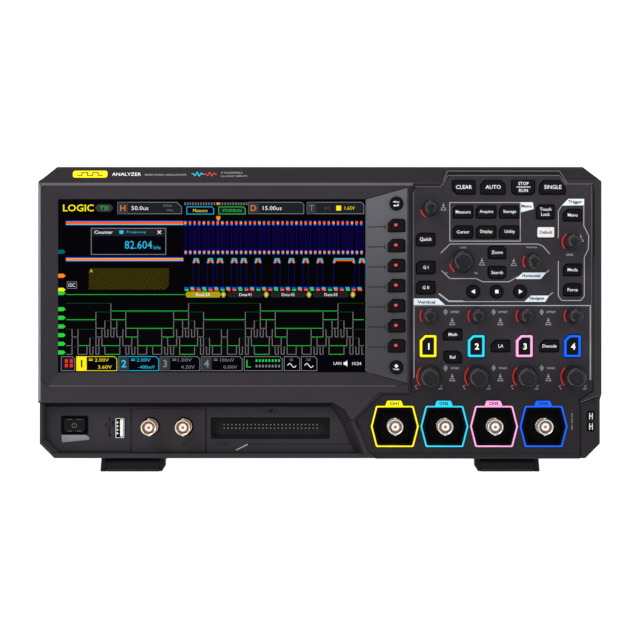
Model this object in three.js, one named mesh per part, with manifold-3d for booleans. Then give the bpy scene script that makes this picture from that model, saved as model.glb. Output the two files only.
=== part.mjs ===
// A benchtop mixed-signal oscilloscope with a logic-pod header, in millimetres.
// +Z is up, the front faces -Y, and the origin is on the bench under the middle of the case.

import * as THREE from "three";
import { ConvexGeometry } from "three/addons/geometries/ConvexGeometry.js";
import { mergeVertices } from "three/addons/utils/BufferGeometryUtils.js";
import Module from "manifold-3d";

const wasm = await Module();
wasm.setup();

// ---------------------------------------------------------------- driving dimensions

const CASE = { halfWidth: 183.5, top: 199, bottom: 9, wall: 3 };
const DEPTH = {
  knobTip: -65,
  jackTip: -62,
  inputPlate: -47.6,
  rim: -53,
  face: -51,
  faceInside: -48,
  glass: -47.7,
  bay: -44,
  bayInside: -41,
  bezelBack: -27,
  coverFront: -26.7,
  coverWaist: 18,
  coverBack: 62,
  bumper: 65,
};
const GAP = 0.4; // clearance round a moving piece
const TRAVEL = 1.5; // room that a key needs behind the panel
const WINDOW = { left: -171, right: 29.5, bottom: 65, top: 178 };
const FASCIA = { left: 30, right: 57, bottom: 57.5, top: 185.5 };
const BAY = { left: -180, right: 9, bottom: 12.5, top: 42 };
const SOFTKEY = { x: 49.7, top: 160.6, pitch: 13.05, count: 7, width: 10.9, height: 8 };
const ROUND_SOFTKEYS = [
  [49.6, 174.9],
  [49.6, 68.3],
];
const CHANNEL = { first: 71.4, pitch: 31.3, count: 4, offsetRow: 101.7, keyRow: 82.1, scaleRow: 62 };
const INPUT = {
  first: 48.7,
  pitch: 32.3,
  count: 4,
  z: 30,
  opening: { halfWidth: 13.2, halfTop: 10, halfHeight: 11.2 },
};
const GENERATOR = { first: -111, pitch: 22.1, count: 2, z: 29.4, plateFront: -40.6, base: -43.5, tip: -59 };
const HEADER = {
  left: -71.2,
  right: 5.9,
  bottom: 21.7,
  top: 34.8,
  wall: 1.4,
  back: -32,
  floor: -35,
  key: { half: 2.25, back: -38 },
};
const USB = { x: -131.1, z: 28.4, width: 5.8, height: 13.2, metal: 0.35, back: -31 };
const LEG = {
  inner: 101.2,
  outer: 142.2,
  axisY: -44,
  axisZ: 4.4,
  nose: 4.3,
  tail: -12,
  pin: 1.5,
  pinHole: 1.8,
  ear: { width: 3, half: 4.2, bottom: 0.8, clear: 0.35 },
};
const FOOT = { inner: 109, outer: 142, front: 36, back: 58 };
const WELL = { halfLength: 66, front: -12, back: 24, floor: 180 };
const HANDLE = {
  legX: 54,
  legHalf: 4,
  shoulderHalf: 7,
  stopHalf: 6,
  y: 11,
  grip: 62,
  halfDepth: 8.5,
  top: 196,
  low: 184,
  legBottom: 146,
};
const FAN = { x: 112, z: 105, side: 60, front: 43, back: 58, bore: 28, hub: 10, blades: 7 };

// ---------------------------------------------------------------- solids

function solidOf(geometry) {
  const bare = geometry.clone();
  bare.deleteAttribute("normal");
  bare.deleteAttribute("uv");
  const merged = mergeVertices(bare, 1e-4);
  const triVerts = new Uint32Array(merged.index.array);
  const vertProperties = merged.attributes.position.array;
  const made = new wasm.Manifold(new wasm.Mesh({ numProp: 3, vertProperties, triVerts }));
  if (made.volume() > 0) return made;
  triVerts.reverse();
  return new wasm.Manifold(new wasm.Mesh({ numProp: 3, vertProperties, triVerts }));
}

function geometryOf(solid) {
  const mesh = solid.getMesh();
  const geometry = new THREE.BufferGeometry();
  geometry.setAttribute("position", new THREE.BufferAttribute(mesh.vertProperties, 3));
  geometry.setIndex(new THREE.BufferAttribute(mesh.triVerts, 1));
  const flat = geometry.toNonIndexed();
  flat.computeVertexNormals();
  return flat;
}

const join = (...solids) => solids.flat().reduce((sum, piece) => sum.add(piece));
const cut = (base, ...tools) => tools.flat().reduce((rest, tool) => rest.subtract(tool), base);

function block(x0, x1, y0, y1, z0, z1) {
  const geometry = new THREE.BoxGeometry(x1 - x0, y1 - y0, z1 - z0);
  return solidOf(geometry.translate((x0 + x1) / 2, (y0 + y1) / 2, (z0 + z1) / 2));
}

// An outline in the XZ plane, made solid from yFront back to yBack, with an optional bevel.
function slab(outline, yFront, yBack, bevel = 0) {
  const shape = new THREE.Shape(outline.map(([x, z]) => new THREE.Vector2(x, z)));
  const geometry = new THREE.ExtrudeGeometry(shape, {
    depth: yBack - yFront - 2 * bevel,
    bevelEnabled: bevel > 0,
    bevelThickness: bevel,
    bevelSize: bevel,
    bevelOffset: -bevel,
    bevelSegments: 1,
    steps: 1,
  });
  return solidOf(geometry.rotateX(Math.PI / 2).translate(0, yBack - bevel, 0));
}

// An outline in the YZ plane, made solid from x0 to x1.
function prism(outline, x0, x1) {
  const shape = new THREE.Shape(outline.map(([y, z]) => new THREE.Vector2(y, z)));
  const geometry = new THREE.ExtrudeGeometry(shape, { depth: x1 - x0, bevelEnabled: false });
  return solidOf(geometry.rotateY(Math.PI / 2).rotateX(Math.PI / 2).translate(x0, 0, 0));
}

// A profile of [radius, y] pairs turned about the line through x, z along Y.
function turned(x, z, profile, segments = 20) {
  const points = profile.map(([radius, y]) => new THREE.Vector2(radius, y));
  return solidOf(new THREE.LatheGeometry(points, segments).translate(x, 0, z));
}

function disc(x, z, radius, yFront, yBack, segments = 20) {
  const profile = [
    [0, yFront],
    [radius, yFront],
    [radius, yBack],
    [0, yBack],
  ];
  return turned(x, z, profile, segments);
}

function hullOf(points) {
  return solidOf(new ConvexGeometry(points.map(([x, y, z]) => new THREE.Vector3(x, y, z))));
}

// ---------------------------------------------------------------- outlines

function rectangle(x, z, width, height) {
  return chamfered(x, z, width, height, {});
}

// A rectangle whose corners may be cut: corners holds tl, tr, br and bl, the size of each cut.
function chamfered(x, z, width, height, corners) {
  const { tl = 0, tr = 0, br = 0, bl = 0 } = corners;
  const left = x - width / 2;
  const right = x + width / 2;
  const low = z - height / 2;
  const high = z + height / 2;
  const points = [];
  const corner = (cutSize, first, second) => points.push(...(cutSize ? [first, second] : [first]));
  corner(bl, [left, low + bl], [left + bl, low]);
  corner(br, [right - br, low], [right, low + br]);
  corner(tr, [right, high - tr], [right - tr, high]);
  corner(tl, [left + tl, high], [left, high - tl]);
  return points;
}

function centreOf(outline) {
  const xs = outline.map((point) => point[0]);
  const zs = outline.map((point) => point[1]);
  const middle = (values) => (Math.min(...values) + Math.max(...values)) / 2;
  const extent = (values) => Math.max(...values) - Math.min(...values);
  return { x: middle(xs), z: middle(zs), width: extent(xs), height: extent(zs) };
}

// The outline scaled about its centre so that each side moves out by amount.
function grown(outline, amount) {
  const { x, z, width, height } = centreOf(outline);
  const kx = (width + 2 * amount) / width;
  const kz = (height + 2 * amount) / height;
  return outline.map((point) => [x + (point[0] - x) * kx, z + (point[1] - z) * kz]);
}

function series(count, make) {
  return Array.from({ length: count }, (_, index) => make(index));
}

function hexagon(x, z, halfWidth, halfTop, halfHeight) {
  return [
    [x - halfWidth, z],
    [x - halfTop, z - halfHeight],
    [x + halfTop, z - halfHeight],
    [x + halfWidth, z],
    [x + halfTop, z + halfHeight],
    [x - halfTop, z + halfHeight],
  ];
}

function caseOutline(inset) {
  const side = CASE.halfWidth - inset;
  const top = CASE.top - inset;
  const bottom = CASE.bottom + inset;
  const topCut = { x: 12, z: 9.5 };
  const bottomCut = 9.5;
  return [
    [-side, bottom + bottomCut],
    [-side + bottomCut, bottom],
    [side - bottomCut, bottom],
    [side, bottom + bottomCut],
    [side, top - topCut.z],
    [side - topCut.x, top],
    [-side + topCut.x, top],
    [-side, top - topCut.z],
  ];
}

const DISPLAY_BLOCK = [
  [-CASE.halfWidth, 45],
  [9, 44.5],
  [22, 34.5],
  [39.7, 51.4],
  [59, 51.4],
  [59, 183.5],
  [62, 186.3],
  [78, 186.3],
  [82.5, 196.5],
  [82.5, CASE.top],
  [-171.5, CASE.top],
  [-CASE.halfWidth, 189.5],
];

const TOP_KEY_BLOCK = [
  [78, 180],
  [161.5, 180],
  [161.5, 188],
  [156.2, 196.4],
  [82.3, 196.4],
  [78, 188],
];

const BAY_OUTLINE = [
  [BAY.left, BAY.bottom],
  [24.5, BAY.bottom],
  [20, 24],
  [12, 38],
  [BAY.right, BAY.top],
  [BAY.left, BAY.top],
];

// ---------------------------------------------------------------- keys and knobs

const CHAMFER = { tl: 2.2, br: 1 };
const CAP_FRONT = DEPTH.face - 1.7;

const keyOutlines = {
  quick_key: chamfered(68.8, 151.5, 11.7, 7.8, CHAMFER),
  generator_1_key: chamfered(68.8, 133.3, 11.7, 7.8, CHAMFER),
  generator_2_key: chamfered(68.8, 120.2, 11.7, 7.8, CHAMFER),
  clear_key: chamfered(93.6, 185.6, 14.3, 8.7, { bl: 3 }),
  auto_key: chamfered(112.6, 185.6, 15.4, 8.8, { tl: 3, tr: 3 }),
  run_stop_key: chamfered(132.3, 185.6, 14.6, 9.4, { bl: 2, br: 2 }),
  single_key: chamfered(151.4, 185.6, 16.2, 8.8, { tl: 3.2, tr: 4.6 }),
  touch_lock_key: chamfered(146.7, 169.5, 11.3, 8.7, CHAMFER),
  default_key: chamfered(147, 156.2, 11, 6.8, CHAMFER),
  zoom_key: chamfered(115.2, 143.1, 11.1, 7.5, { tl: 1.8, tr: 1.8 }),
  search_key: chamfered(115.2, 130, 11.1, 7.5, { bl: 1.8, br: 1.8 }),
  trigger_menu_key: chamfered(164.3, 167.4, 11.4, 7.2, { tl: 3 }),
  trigger_mode_key: chamfered(164.3, 131.8, 11.1, 7.2, CHAMFER),
  trigger_force_key: chamfered(164.3, 118.8, 11.1, 7.5, CHAMFER),
  math_key: chamfered(86.4, 89.7, 11.7, 6.8, { tl: 3 }),
  ref_key: chamfered(86.4, 75, 11.1, 7.2, { bl: 2.4, tr: 2.4 }),
  logic_key: chamfered(117.6, 82.2, 11.7, 7.2, { tl: 3 }),
  decode_key: chamfered(149.3, 82.2, 11.7, 7.2, { tl: 3 }),
};

const navKeys = { nav_back_key: 99.8, nav_stop_key: 115, nav_forward_key: 130.3 };
const NAV = { z: 117.6, radius: 4 };
const channelX = series(CHANNEL.count, (index) => CHANNEL.first + CHANNEL.pitch * index);
const inputX = series(INPUT.count, (index) => INPUT.first + INPUT.pitch * index);
const generatorX = series(GENERATOR.count, (index) => GENERATOR.first + GENERATOR.pitch * index);
for (const [index, x] of channelX.entries()) {
  keyOutlines[`channel_key_${index + 1}`] = chamfered(x - 1, CHANNEL.keyRow, 11.1, 15, { tl: 3 });
}
const MENU_KEY = { width: 12.4, height: 7.5, columns: [93.1, 108.2, 123.4], rows: [169.4, 156.4] };
const menuOutlines = MENU_KEY.rows.flatMap((z) =>
  MENU_KEY.columns.map((x) => chamfered(x, z, MENU_KEY.width, MENU_KEY.height, CHAMFER)),
);
const softOutlines = series(SOFTKEY.count, (index) => {
  const z = SOFTKEY.top - SOFTKEY.pitch * index;
  return chamfered(SOFTKEY.x, z, SOFTKEY.width, SOFTKEY.height, { tl: 3, tr: 1.2 });
});
const ROUND_KEY = 4.2;
const POWER = { x: -160.8, z: 30.2, width: 15.4, height: 10.2, rise: 1.6 };
const powerOutline = chamfered(POWER.x, POWER.z, POWER.width, POWER.height, { bl: 1.5, br: 1.5 });

const SMALL = { skirt: 5.3, tip: 4.7 };
const LARGE = { skirt: 7.7, tip: 6.6 };
const knobs = {
  multipurpose_knob: { x: 71.9, z: 171.7, size: SMALL },
  horizontal_scale_knob: { x: 92.7, z: 137.2, size: LARGE },
  horizontal_position_knob: { x: 138.5, z: 137.2, size: SMALL },
  trigger_level_knob: { x: 164, z: 149.9, size: SMALL },
};
for (const [index, x] of channelX.entries()) {
  knobs[`offset_knob_${index + 1}`] = { x, z: CHANNEL.offsetRow, size: SMALL };
  knobs[`scale_knob_${index + 1}`] = { x, z: CHANNEL.scaleRow, size: LARGE };
}
const SHAFT = 3;

// A key cap with the flange that keeps it in the panel.
function keyCap(outline, front = CAP_FRONT, inside = DEPTH.faceInside) {
  const flange = slab(grown(outline, 1), inside + TRAVEL + GAP, inside + TRAVEL + GAP + 1.2);
  const stem = slab(outline, front + 1, inside + TRAVEL + GAP + 0.6);
  return join(slab(outline, front, front + 1.6, 0.5), stem, flange);
}

function roundCap(x, z, radius, front = CAP_FRONT, inside = DEPTH.faceInside) {
  const back = inside + TRAVEL + GAP;
  const profile = [
    [0, front],
    [radius - 0.6, front],
    [radius, front + 0.6],
    [radius, back],
    [radius + 1, back],
    [radius + 1, back + 1.2],
    [0, back + 1.2],
  ];
  return turned(x, z, profile, 16);
}

// Several caps on one web, which lies behind the panel.
function keypad(caps, x0, x1, z0, z1, inside) {
  const back = inside + TRAVEL + GAP;
  return join(...caps, block(x0, x1, back, back + 1.6, z0, z1));
}

function knob({ x, z, size }) {
  const foot = DEPTH.face - 0.6;
  const profile = [
    [0, DEPTH.knobTip],
    [size.tip - 0.8, DEPTH.knobTip],
    [size.tip, DEPTH.knobTip + 0.8],
    [size.tip + 0.3, foot - 3],
    [size.skirt, foot - 2],
    [size.skirt, foot],
    [SHAFT, foot],
    [SHAFT, DEPTH.bayInside],
    [0, DEPTH.bayInside],
  ];
  return turned(x, z, profile, 18);
}

// ---------------------------------------------------------------- front panel

const FASCIA_SLOPE = { outer: DEPTH.rim + 0.3, inner: DEPTH.faceInside - 0.2, thickness: 2.4 };
const FUNNEL_FLARE = { x: 10.5, z: 9 };

function fasciaWedge(thickness, shrink) {
  const { left, right, bottom, top } = FASCIA;
  const lowLeft = WINDOW.bottom + shrink;
  const highLeft = WINDOW.top - shrink;
  const corners = [
    [left + shrink, FASCIA_SLOPE.inner, lowLeft],
    [left + shrink, FASCIA_SLOPE.inner, highLeft],
    [right - shrink, FASCIA_SLOPE.outer, bottom + shrink],
    [right - shrink, FASCIA_SLOPE.outer, top - shrink],
  ];
  return hullOf([...corners, ...corners.map(([x, y, z]) => [x, y + thickness, z])]);
}

function legEars() {
  const { inner, outer, axisY, ear } = LEG;
  const lug = (x0, x1) => block(x0, x1, axisY - ear.half, axisY + ear.half, ear.bottom, CASE.bottom + 1);
  const pair = [lug(inner, inner + ear.width), lug(outer - ear.width, outer)];
  const mirrored = [lug(-outer, -outer + ear.width), lug(-inner - ear.width, -inner)];
  return [...pair, ...mirrored];
}

function pinHole() {
  const bore = new THREE.CylinderGeometry(LEG.pinHole, LEG.pinHole, 2 * LEG.outer + 4, 12);
  return solidOf(bore.rotateZ(Math.PI / 2).translate(0, LEG.axisY, LEG.axisZ));
}

function funnel() {
  const { left, right, bottom, top } = WINDOW;
  const inner = DEPTH.faceInside - 0.2;
  const ring = (dx, dz, y) => [
    [left - dx, y, bottom - dz],
    [right, y, bottom - dz],
    [right, y, top + dz],
    [left - dx, y, top + dz],
  ];
  return hullOf([...ring(0, 0, inner), ...ring(FUNNEL_FLARE.x, FUNNEL_FLARE.z, DEPTH.rim)]);
}

function frontPanel() {
  const outer = caseOutline(0);
  const lip = { face: DEPTH.rim - 0.5, low: 187.5, high: CASE.top + 0.5, back: -45 };
  const shell = join(
    slab(outer, DEPTH.face, DEPTH.bezelBack),
    slab(DISPLAY_BLOCK, DEPTH.rim, DEPTH.face + 1),
  );
  const slope = prism(
    [
      [lip.face, lip.low],
      [lip.back, lip.high],
      [lip.face - 6, lip.high],
    ],
    -CASE.halfWidth - 1,
    CASE.halfWidth + 1,
  );
  const ledge = cut(
    slab(caseOutline(CASE.wall), DEPTH.faceInside, DEPTH.bezelBack + 1),
    block(-190, 30, DEPTH.faceInside - 1, DEPTH.bayInside, 0, 47),
  );
  const bay = slab(BAY_OUTLINE, DEPTH.rim - 2, DEPTH.bay);
  const windowHole = slab(
    rectangle(
      (WINDOW.left + WINDOW.right) / 2,
      (WINDOW.bottom + WINDOW.top) / 2,
      WINDOW.right - WINDOW.left,
      WINDOW.top - WINDOW.bottom,
    ),
    DEPTH.rim - 1,
    DEPTH.bayInside,
  );
  const raised = slab(TOP_KEY_BLOCK, DEPTH.face, DEPTH.face + 8);
  const fasciaSeat = join(fasciaWedge(12, -GAP), fasciaWedge(-4, -GAP));
  let panel = join(cut(shell, slope), raised, legEars());
  panel = cut(panel, ledge, bay, funnel(), windowHole, fasciaSeat, pinHole());
  return cut(panel, ...panelHoles());
}

function panelHoles() {
  const front = DEPTH.rim - 2;
  const back = DEPTH.bayInside + 2;
  const through = (outline) => slab(grown(outline, GAP), front, back);
  const keyHoles = Object.values(keyOutlines).map(through);
  const menuHoles = menuOutlines.map(through);
  const navHoles = Object.values(navKeys).map((x) => disc(x, NAV.z, NAV.radius + GAP, front, back, 16));
  const shaftHoles = Object.values(knobs).map(({ x, z }) => disc(x, z, SHAFT + GAP, front, back, 12));
  const { halfWidth, halfTop, halfHeight } = INPUT.opening;
  const openings = inputX.map((x) => hexagon(x, INPUT.z, halfWidth, halfTop, halfHeight));
  const inputHoles = openings.map((outline) => slab(outline, front, back));
  const jackHoles = generatorX.map((x) => disc(x, GENERATOR.z, JACK.flange + GAP, front, back, 16));
  const { left, right, bottom, top } = HEADER;
  const headerHole = slab(
    rectangle((left + right) / 2, (bottom + top) / 2, right - left + 0.8, top - bottom + 0.8),
    front,
    back,
  );
  const usbHole = slab(rectangle(USB.x, USB.z, USB.width + 0.8, USB.height + 0.8), front, back);
  const powerHole = through(powerOutline);
  const lugHoles = LUG.z.map((z) => through(rectangle(LUG.x, z, LUG.width, LUG.height)));
  const others = [headerHole, usbHole, powerHole, ...lugHoles];
  return [...keyHoles, ...menuHoles, ...navHoles, ...shaftHoles, ...inputHoles, ...jackHoles, ...others];
}

function softkeyFascia() {
  const plate = fasciaWedge(FASCIA_SLOPE.thickness, 0);
  const front = DEPTH.rim - 2;
  const back = DEPTH.bayInside;
  const holes = softOutlines.map((outline) => slab(grown(outline, GAP), front, back));
  const roundHoles = ROUND_SOFTKEYS.map(([x, z]) => disc(x, z, ROUND_KEY + GAP, front, back, 16));
  return cut(plate, ...holes, ...roundHoles);
}

function softkeyKeypad() {
  const front = DEPTH.rim - 1;
  const inside = DEPTH.faceInside;
  const caps = softOutlines.map((outline) => keyCap(outline, front, inside));
  const rounds = ROUND_SOFTKEYS.map(([x, z]) => roundCap(x, z, ROUND_KEY, front, inside));
  return keypad([...caps, ...rounds], 42.5, 56.2, 62, 181, inside);
}

function menuKeypad() {
  const caps = menuOutlines.map((outline) => keyCap(outline));
  return keypad(caps, 86, 130.5, 151.5, 174.3, DEPTH.faceInside);
}

function powerKey() {
  return keyCap(powerOutline, DEPTH.bay - POWER.rise, DEPTH.bayInside);
}

// ---------------------------------------------------------------- connectors

const JACK = {
  flange: 5.6,
  flangeThickness: 1.6,
  barrel: 4.85,
  bore: 4.05,
  boreDepth: 9,
  core: 2.3,
  coreDrop: 2,
  lug: { half: 0.95, sink: 0.6, rise: 0.9, near: 5.2, far: 3.4 },
};
const LUG = { x: 176.2, z: [36.6, 29.9], width: 3.4, height: 6, front: -53, base: -46.5, back: -45 };

// A bayonet jack that points along direction (-1 forwards, 1 backwards) from its base plane.
function jack(x, z, base, tip, direction = -1) {
  const { flange, flangeThickness, barrel, bore, boreDepth, core, coreDrop, lug } = JACK;
  const flangeFront = base + direction * flangeThickness;
  const floor = tip - direction * boreDepth;
  const coreTip = tip - direction * coreDrop;
  const profile = [
    [0, base],
    [flange, base],
    [flange, flangeFront],
    [barrel, flangeFront],
    [barrel, tip],
    [bore, tip],
    [bore, floor],
    [core, floor],
    [core, coreTip],
    [0, coreTip],
  ];
  const [near, far] = [tip - direction * lug.near, tip - direction * lug.far].sort((a, b) => a - b);
  const stud = (sign) => {
    const middle = z + sign * (barrel + (lug.rise - lug.sink) / 2);
    const half = (lug.rise + lug.sink) / 2;
    return block(x - lug.half, x + lug.half, near, far, middle - half, middle + half);
  };
  return join(turned(x, z, profile, 16), stud(1), stud(-1));
}

function inputBlock() {
  const margin = { x: 12.7, z: 13 };
  const plate = block(
    INPUT.first - margin.x,
    inputX.at(-1) + margin.x,
    DEPTH.inputPlate,
    DEPTH.inputPlate + 1.6,
    INPUT.z - margin.z,
    INPUT.z + margin.z,
  );
  const jacks = inputX.map((x) => jack(x, INPUT.z, DEPTH.inputPlate + 0.6, DEPTH.jackTip));
  return join(plate, ...jacks);
}

function generatorPair() {
  const [first, second] = generatorX;
  const { plateFront, base, tip } = GENERATOR;
  const plate = block(first - 9, second + 9, plateFront, plateFront + 1.6, 19, 40);
  const jacks = generatorX.map((x) => {
    const neck = disc(x, GENERATOR.z, JACK.flange, base - 0.7, plateFront + 0.6, 16);
    return join(neck, jack(x, GENERATOR.z, base, tip));
  });
  return join(plate, ...jacks);
}

function logicHeader() {
  const { left, right, bottom, top, wall, back, floor, key } = HEADER;
  const body = block(left, right, DEPTH.bay - 0.4, back, bottom, top);
  const outside = DEPTH.bay - 2;
  const cavity = block(left + wall, right - wall, outside, floor, bottom + wall, top - wall);
  const middle = (left + right) / 2;
  const keySlot = block(middle - key.half, middle + key.half, outside, key.back, top - wall - 1, top + 1);
  return cut(body, cavity, keySlot);
}

function usbPort() {
  const { x, z, width, height, metal, back } = USB;
  const halfWidth = width / 2;
  const halfHeight = height / 2;
  const outer = block(x - halfWidth, x + halfWidth, DEPTH.bay - 0.6, back, z - halfHeight, z + halfHeight);
  const inner = block(
    x - halfWidth + metal,
    x + halfWidth - metal,
    DEPTH.bay - 2,
    back - 1.2,
    z - halfHeight + metal,
    z + halfHeight - metal,
  );
  return cut(outer, inner);
}

function probeTerminals() {
  const { x, width, height, front, base, back } = LUG;
  const lugs = LUG.z.map((z) => {
    const body = block(x - width / 2, x + width / 2, front, base, z - height / 2, z + height / 2);
    const notch = block(x - width, x + width, front + 2.5, front + 4.8, z - 1.2, z + 1.2);
    return cut(body, notch);
  });
  return join(...lugs, block(x - 3, x + 3, base - 1.1, back, 25, 41));
}

const PORTS = { x0: -62, x1: 84, z0: 30, z1: 62, face: 53, inner: 50.8, row: 45 };
const CAN = { wall: 1.6, back: 38, rise: 0.6, cavityBack: 40 };
const SOCKETS = {
  network: { x: -38, width: 12.4, height: 9.6 },
  usb_device: { x: -12, width: 8.8, height: 8 },
  video: { x: 14, width: 14.4, height: 5 },
};
const REAR_JACKS = { x: [46, 69], tip: 64.5 };

// A block round the centre of a socket in the rear port plate.
function socketBlock({ x, width, height }, margin, y0, y1) {
  const halfWidth = width / 2 + margin;
  const halfHeight = height / 2 + margin;
  return block(x - halfWidth, x + halfWidth, y0, y1, PORTS.row - halfHeight, PORTS.row + halfHeight);
}

function rearPortPlate() {
  const plate = block(PORTS.x0, PORTS.x1, PORTS.inner, PORTS.face, PORTS.z0, PORTS.z1);
  const sockets = Object.values(SOCKETS);
  const cans = sockets.map((socket) => socketBlock(socket, CAN.wall, CAN.back, PORTS.face + CAN.rise));
  const cavities = sockets.map((socket) => socketBlock(socket, 0, CAN.cavityBack, PORTS.face + 3));
  const jacks = REAR_JACKS.x.map((x) => jack(x, PORTS.row, PORTS.inner + 0.5, REAR_JACKS.tip, 1));
  return join(cut(join(plate, ...cans), ...cavities), ...jacks);
}

const INLET = {
  x: -122,
  z: 46,
  width: 31,
  height: 24,
  front: 36,
  face: 62.4,
  flange: { width: 50, height: 22, thickness: 2 },
  cavity: { width: 24.5, height: 17, cut: 4, floor: 44 },
};

function mainsInlet() {
  const { x, z, width, height, front, face, flange, cavity } = INLET;
  const body = block(x - width / 2, x + width / 2, front, face, z - height / 2, z + height / 2);
  const ears = slab(rectangle(x, z, flange.width, flange.height), face - 0.1, face - 0.1 + flange.thickness);
  const corners = { tl: cavity.cut, tr: cavity.cut };
  const pocket = slab(chamfered(x, z, cavity.width, cavity.height, corners), cavity.floor, DEPTH.bumper + 1);
  return cut(join(body, ears), pocket);
}

// ---------------------------------------------------------------- rear cover and handle

function section(y, side, bottom, top, cutSize) {
  return [
    [-side, y, bottom + cutSize],
    [-side + cutSize, y, bottom],
    [side - cutSize, y, bottom],
    [side, y, bottom + cutSize],
    [side, y, top - cutSize],
    [side - cutSize, y, top],
    [-side + cutSize, y, top],
    [-side, y, top - cutSize],
  ];
}

const COVER = { inset: 1, wall: 2.5, cut: 9.5, backCut: 12, tuck: { side: 10, bottom: 6, top: 9 } };
const VENTS = {
  height: 3,
  pitch: 9,
  side: { count: 12, low: 48, front: -12, back: 14 },
  rear: { count: 9, low: 90, left: -150, right: 40 },
  grille: { count: 7, pitch: 8, height: 5, half: 25 },
};
const BUMPER = { size: 14, cut: 3, x: [-158, 158], z: [34, 168], back: 60 };

function coverHull(inset, front, back) {
  const side = CASE.halfWidth - COVER.inset - inset;
  const bottom = CASE.bottom + COVER.inset + inset;
  const top = CASE.top - COVER.inset - inset;
  const { tuck } = COVER;
  return hullOf([
    ...section(front, side, bottom, top, COVER.cut),
    ...section(DEPTH.coverWaist, side, bottom, top, COVER.cut),
    ...section(back, side - tuck.side, bottom + tuck.bottom, top - tuck.top, COVER.backCut),
  ]);
}

function ventSlots() {
  const { height, pitch, side, rear, grille } = VENTS;
  const inside = DEPTH.coverBack - 12;
  const outside = DEPTH.coverBack + 8;
  const sideSlots = series(side.count, (index) => {
    const z = side.low + pitch * index;
    return block(-CASE.halfWidth - 1, CASE.halfWidth + 1, side.front, side.back, z, z + height);
  });
  const rearSlots = series(rear.count, (index) => {
    const z = rear.low + pitch * index;
    return block(rear.left, rear.right, inside, outside, z, z + height);
  });
  const grilleLow = FAN.z - (grille.pitch * (grille.count - 1) + grille.height) / 2;
  const grilleSlots = series(grille.count, (index) => {
    const z = grilleLow + grille.pitch * index;
    return block(FAN.x - grille.half, FAN.x + grille.half, inside, outside, z, z + grille.height);
  });
  return [...sideSlots, ...rearSlots, ...grilleSlots];
}

// The windows in the back for the port plate and the mains inlet.
function rearWindows() {
  const window = (x0, x1, z0, z1) =>
    block(x0 - GAP, x1 + GAP, DEPTH.coverBack - 14, DEPTH.coverBack + 8, z0 - GAP, z1 + GAP);
  const { x, z, width, height } = INLET;
  return [
    window(PORTS.x0, PORTS.x1, PORTS.z0, PORTS.z1),
    window(x - width / 2, x + width / 2, z - height / 2, z + height / 2),
  ];
}

function rearFeet() {
  const foot = (x0, x1) => block(x0, x1, FOOT.front, FOOT.back, 0, 2 * CASE.bottom);
  return [foot(FOOT.inner, FOOT.outer), foot(-FOOT.outer, -FOOT.inner)];
}

function bumpers() {
  const { size, cut: corner, back } = BUMPER;
  const corners = { tl: corner, tr: corner, bl: corner, br: corner };
  const bumper = (x, z) => slab(chamfered(x, z, size, size, corners), back, DEPTH.bumper);
  return BUMPER.x.flatMap((x) => BUMPER.z.map((z) => bumper(x, z)));
}

function rearCover() {
  const { wall } = COVER;
  const outer = coverHull(0, DEPTH.coverFront, DEPTH.coverBack);
  const inner = coverHull(wall, DEPTH.coverFront - 1, DEPTH.coverBack - wall);
  const { halfLength, front, back, floor } = WELL;
  const above = CASE.top + 2;
  const tray = outer.intersect(
    block(-halfLength - wall, halfLength + wall, front - wall, back + wall, floor - wall, above),
  );
  const well = block(-halfLength, halfLength, front, back, floor, above);
  const half = HANDLE.legHalf + GAP;
  const legSlots = [-HANDLE.legX, HANDLE.legX].map((x) =>
    block(x - half, x + half, HANDLE.y - half, HANDLE.y + half, floor - 10, floor + 10),
  );
  const shell = join(cut(outer, inner), tray, ...rearFeet(), ...bumpers());
  return cut(shell, well, ...legSlots, ...ventSlots(), ...rearWindows());
}

// A square post of the handle, centred on x.
function post(x, half, z0, z1) {
  return block(x - half, x + half, HANDLE.y - half, HANDLE.y + half, z0, z1);
}

function carryHandle() {
  const { legX, legHalf, shoulderHalf, stopHalf, y, grip, halfDepth, top, low, legBottom } = HANDLE;
  const outline = chamfered(0, (top + low) / 2, 2 * grip, top - low, { tl: 4, tr: 4 });
  const bar = slab(outline, y - halfDepth, y + halfDepth);
  const under = WELL.floor + 0.5;
  const legs = [-legX, legX].flatMap((x) => [
    block(x - shoulderHalf, x + shoulderHalf, y - halfDepth, y + halfDepth, under, low + 2),
    post(x, legHalf, legBottom - 2, low + 2),
    post(x, stopHalf, legBottom - 4, legBottom),
  ]);
  return join(bar, ...legs);
}

// ---------------------------------------------------------------- tilt legs

function tiltLeg(sign) {
  const { inner, outer, axisY, axisZ, nose, tail, ear, pin } = LEG;
  const clear = ear.width + ear.clear;
  const x0 = sign > 0 ? inner + clear : -outer + clear;
  const x1 = sign > 0 ? outer - clear : -inner - clear;
  const steps = 8;
  const arc = series(steps + 1, (index) => {
    const angle = Math.PI / 2 + (Math.PI * index) / steps;
    return [axisY + nose * Math.cos(angle), axisZ + nose * Math.sin(angle)];
  });
  const profile = [
    ...arc,
    [axisY + 4, 0],
    [tail - 2, 0],
    [tail, 2],
    [tail, axisZ + nose - 3],
    [tail - 3, axisZ + nose],
  ];
  const shaft = new THREE.CylinderGeometry(pin, pin, outer - inner - 1, 12);
  const middle = (sign * (inner + outer)) / 2;
  return join(prism(profile, x0, x1), solidOf(shaft.rotateZ(Math.PI / 2).translate(middle, axisY, axisZ)));
}

// ---------------------------------------------------------------- inside the case

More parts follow.
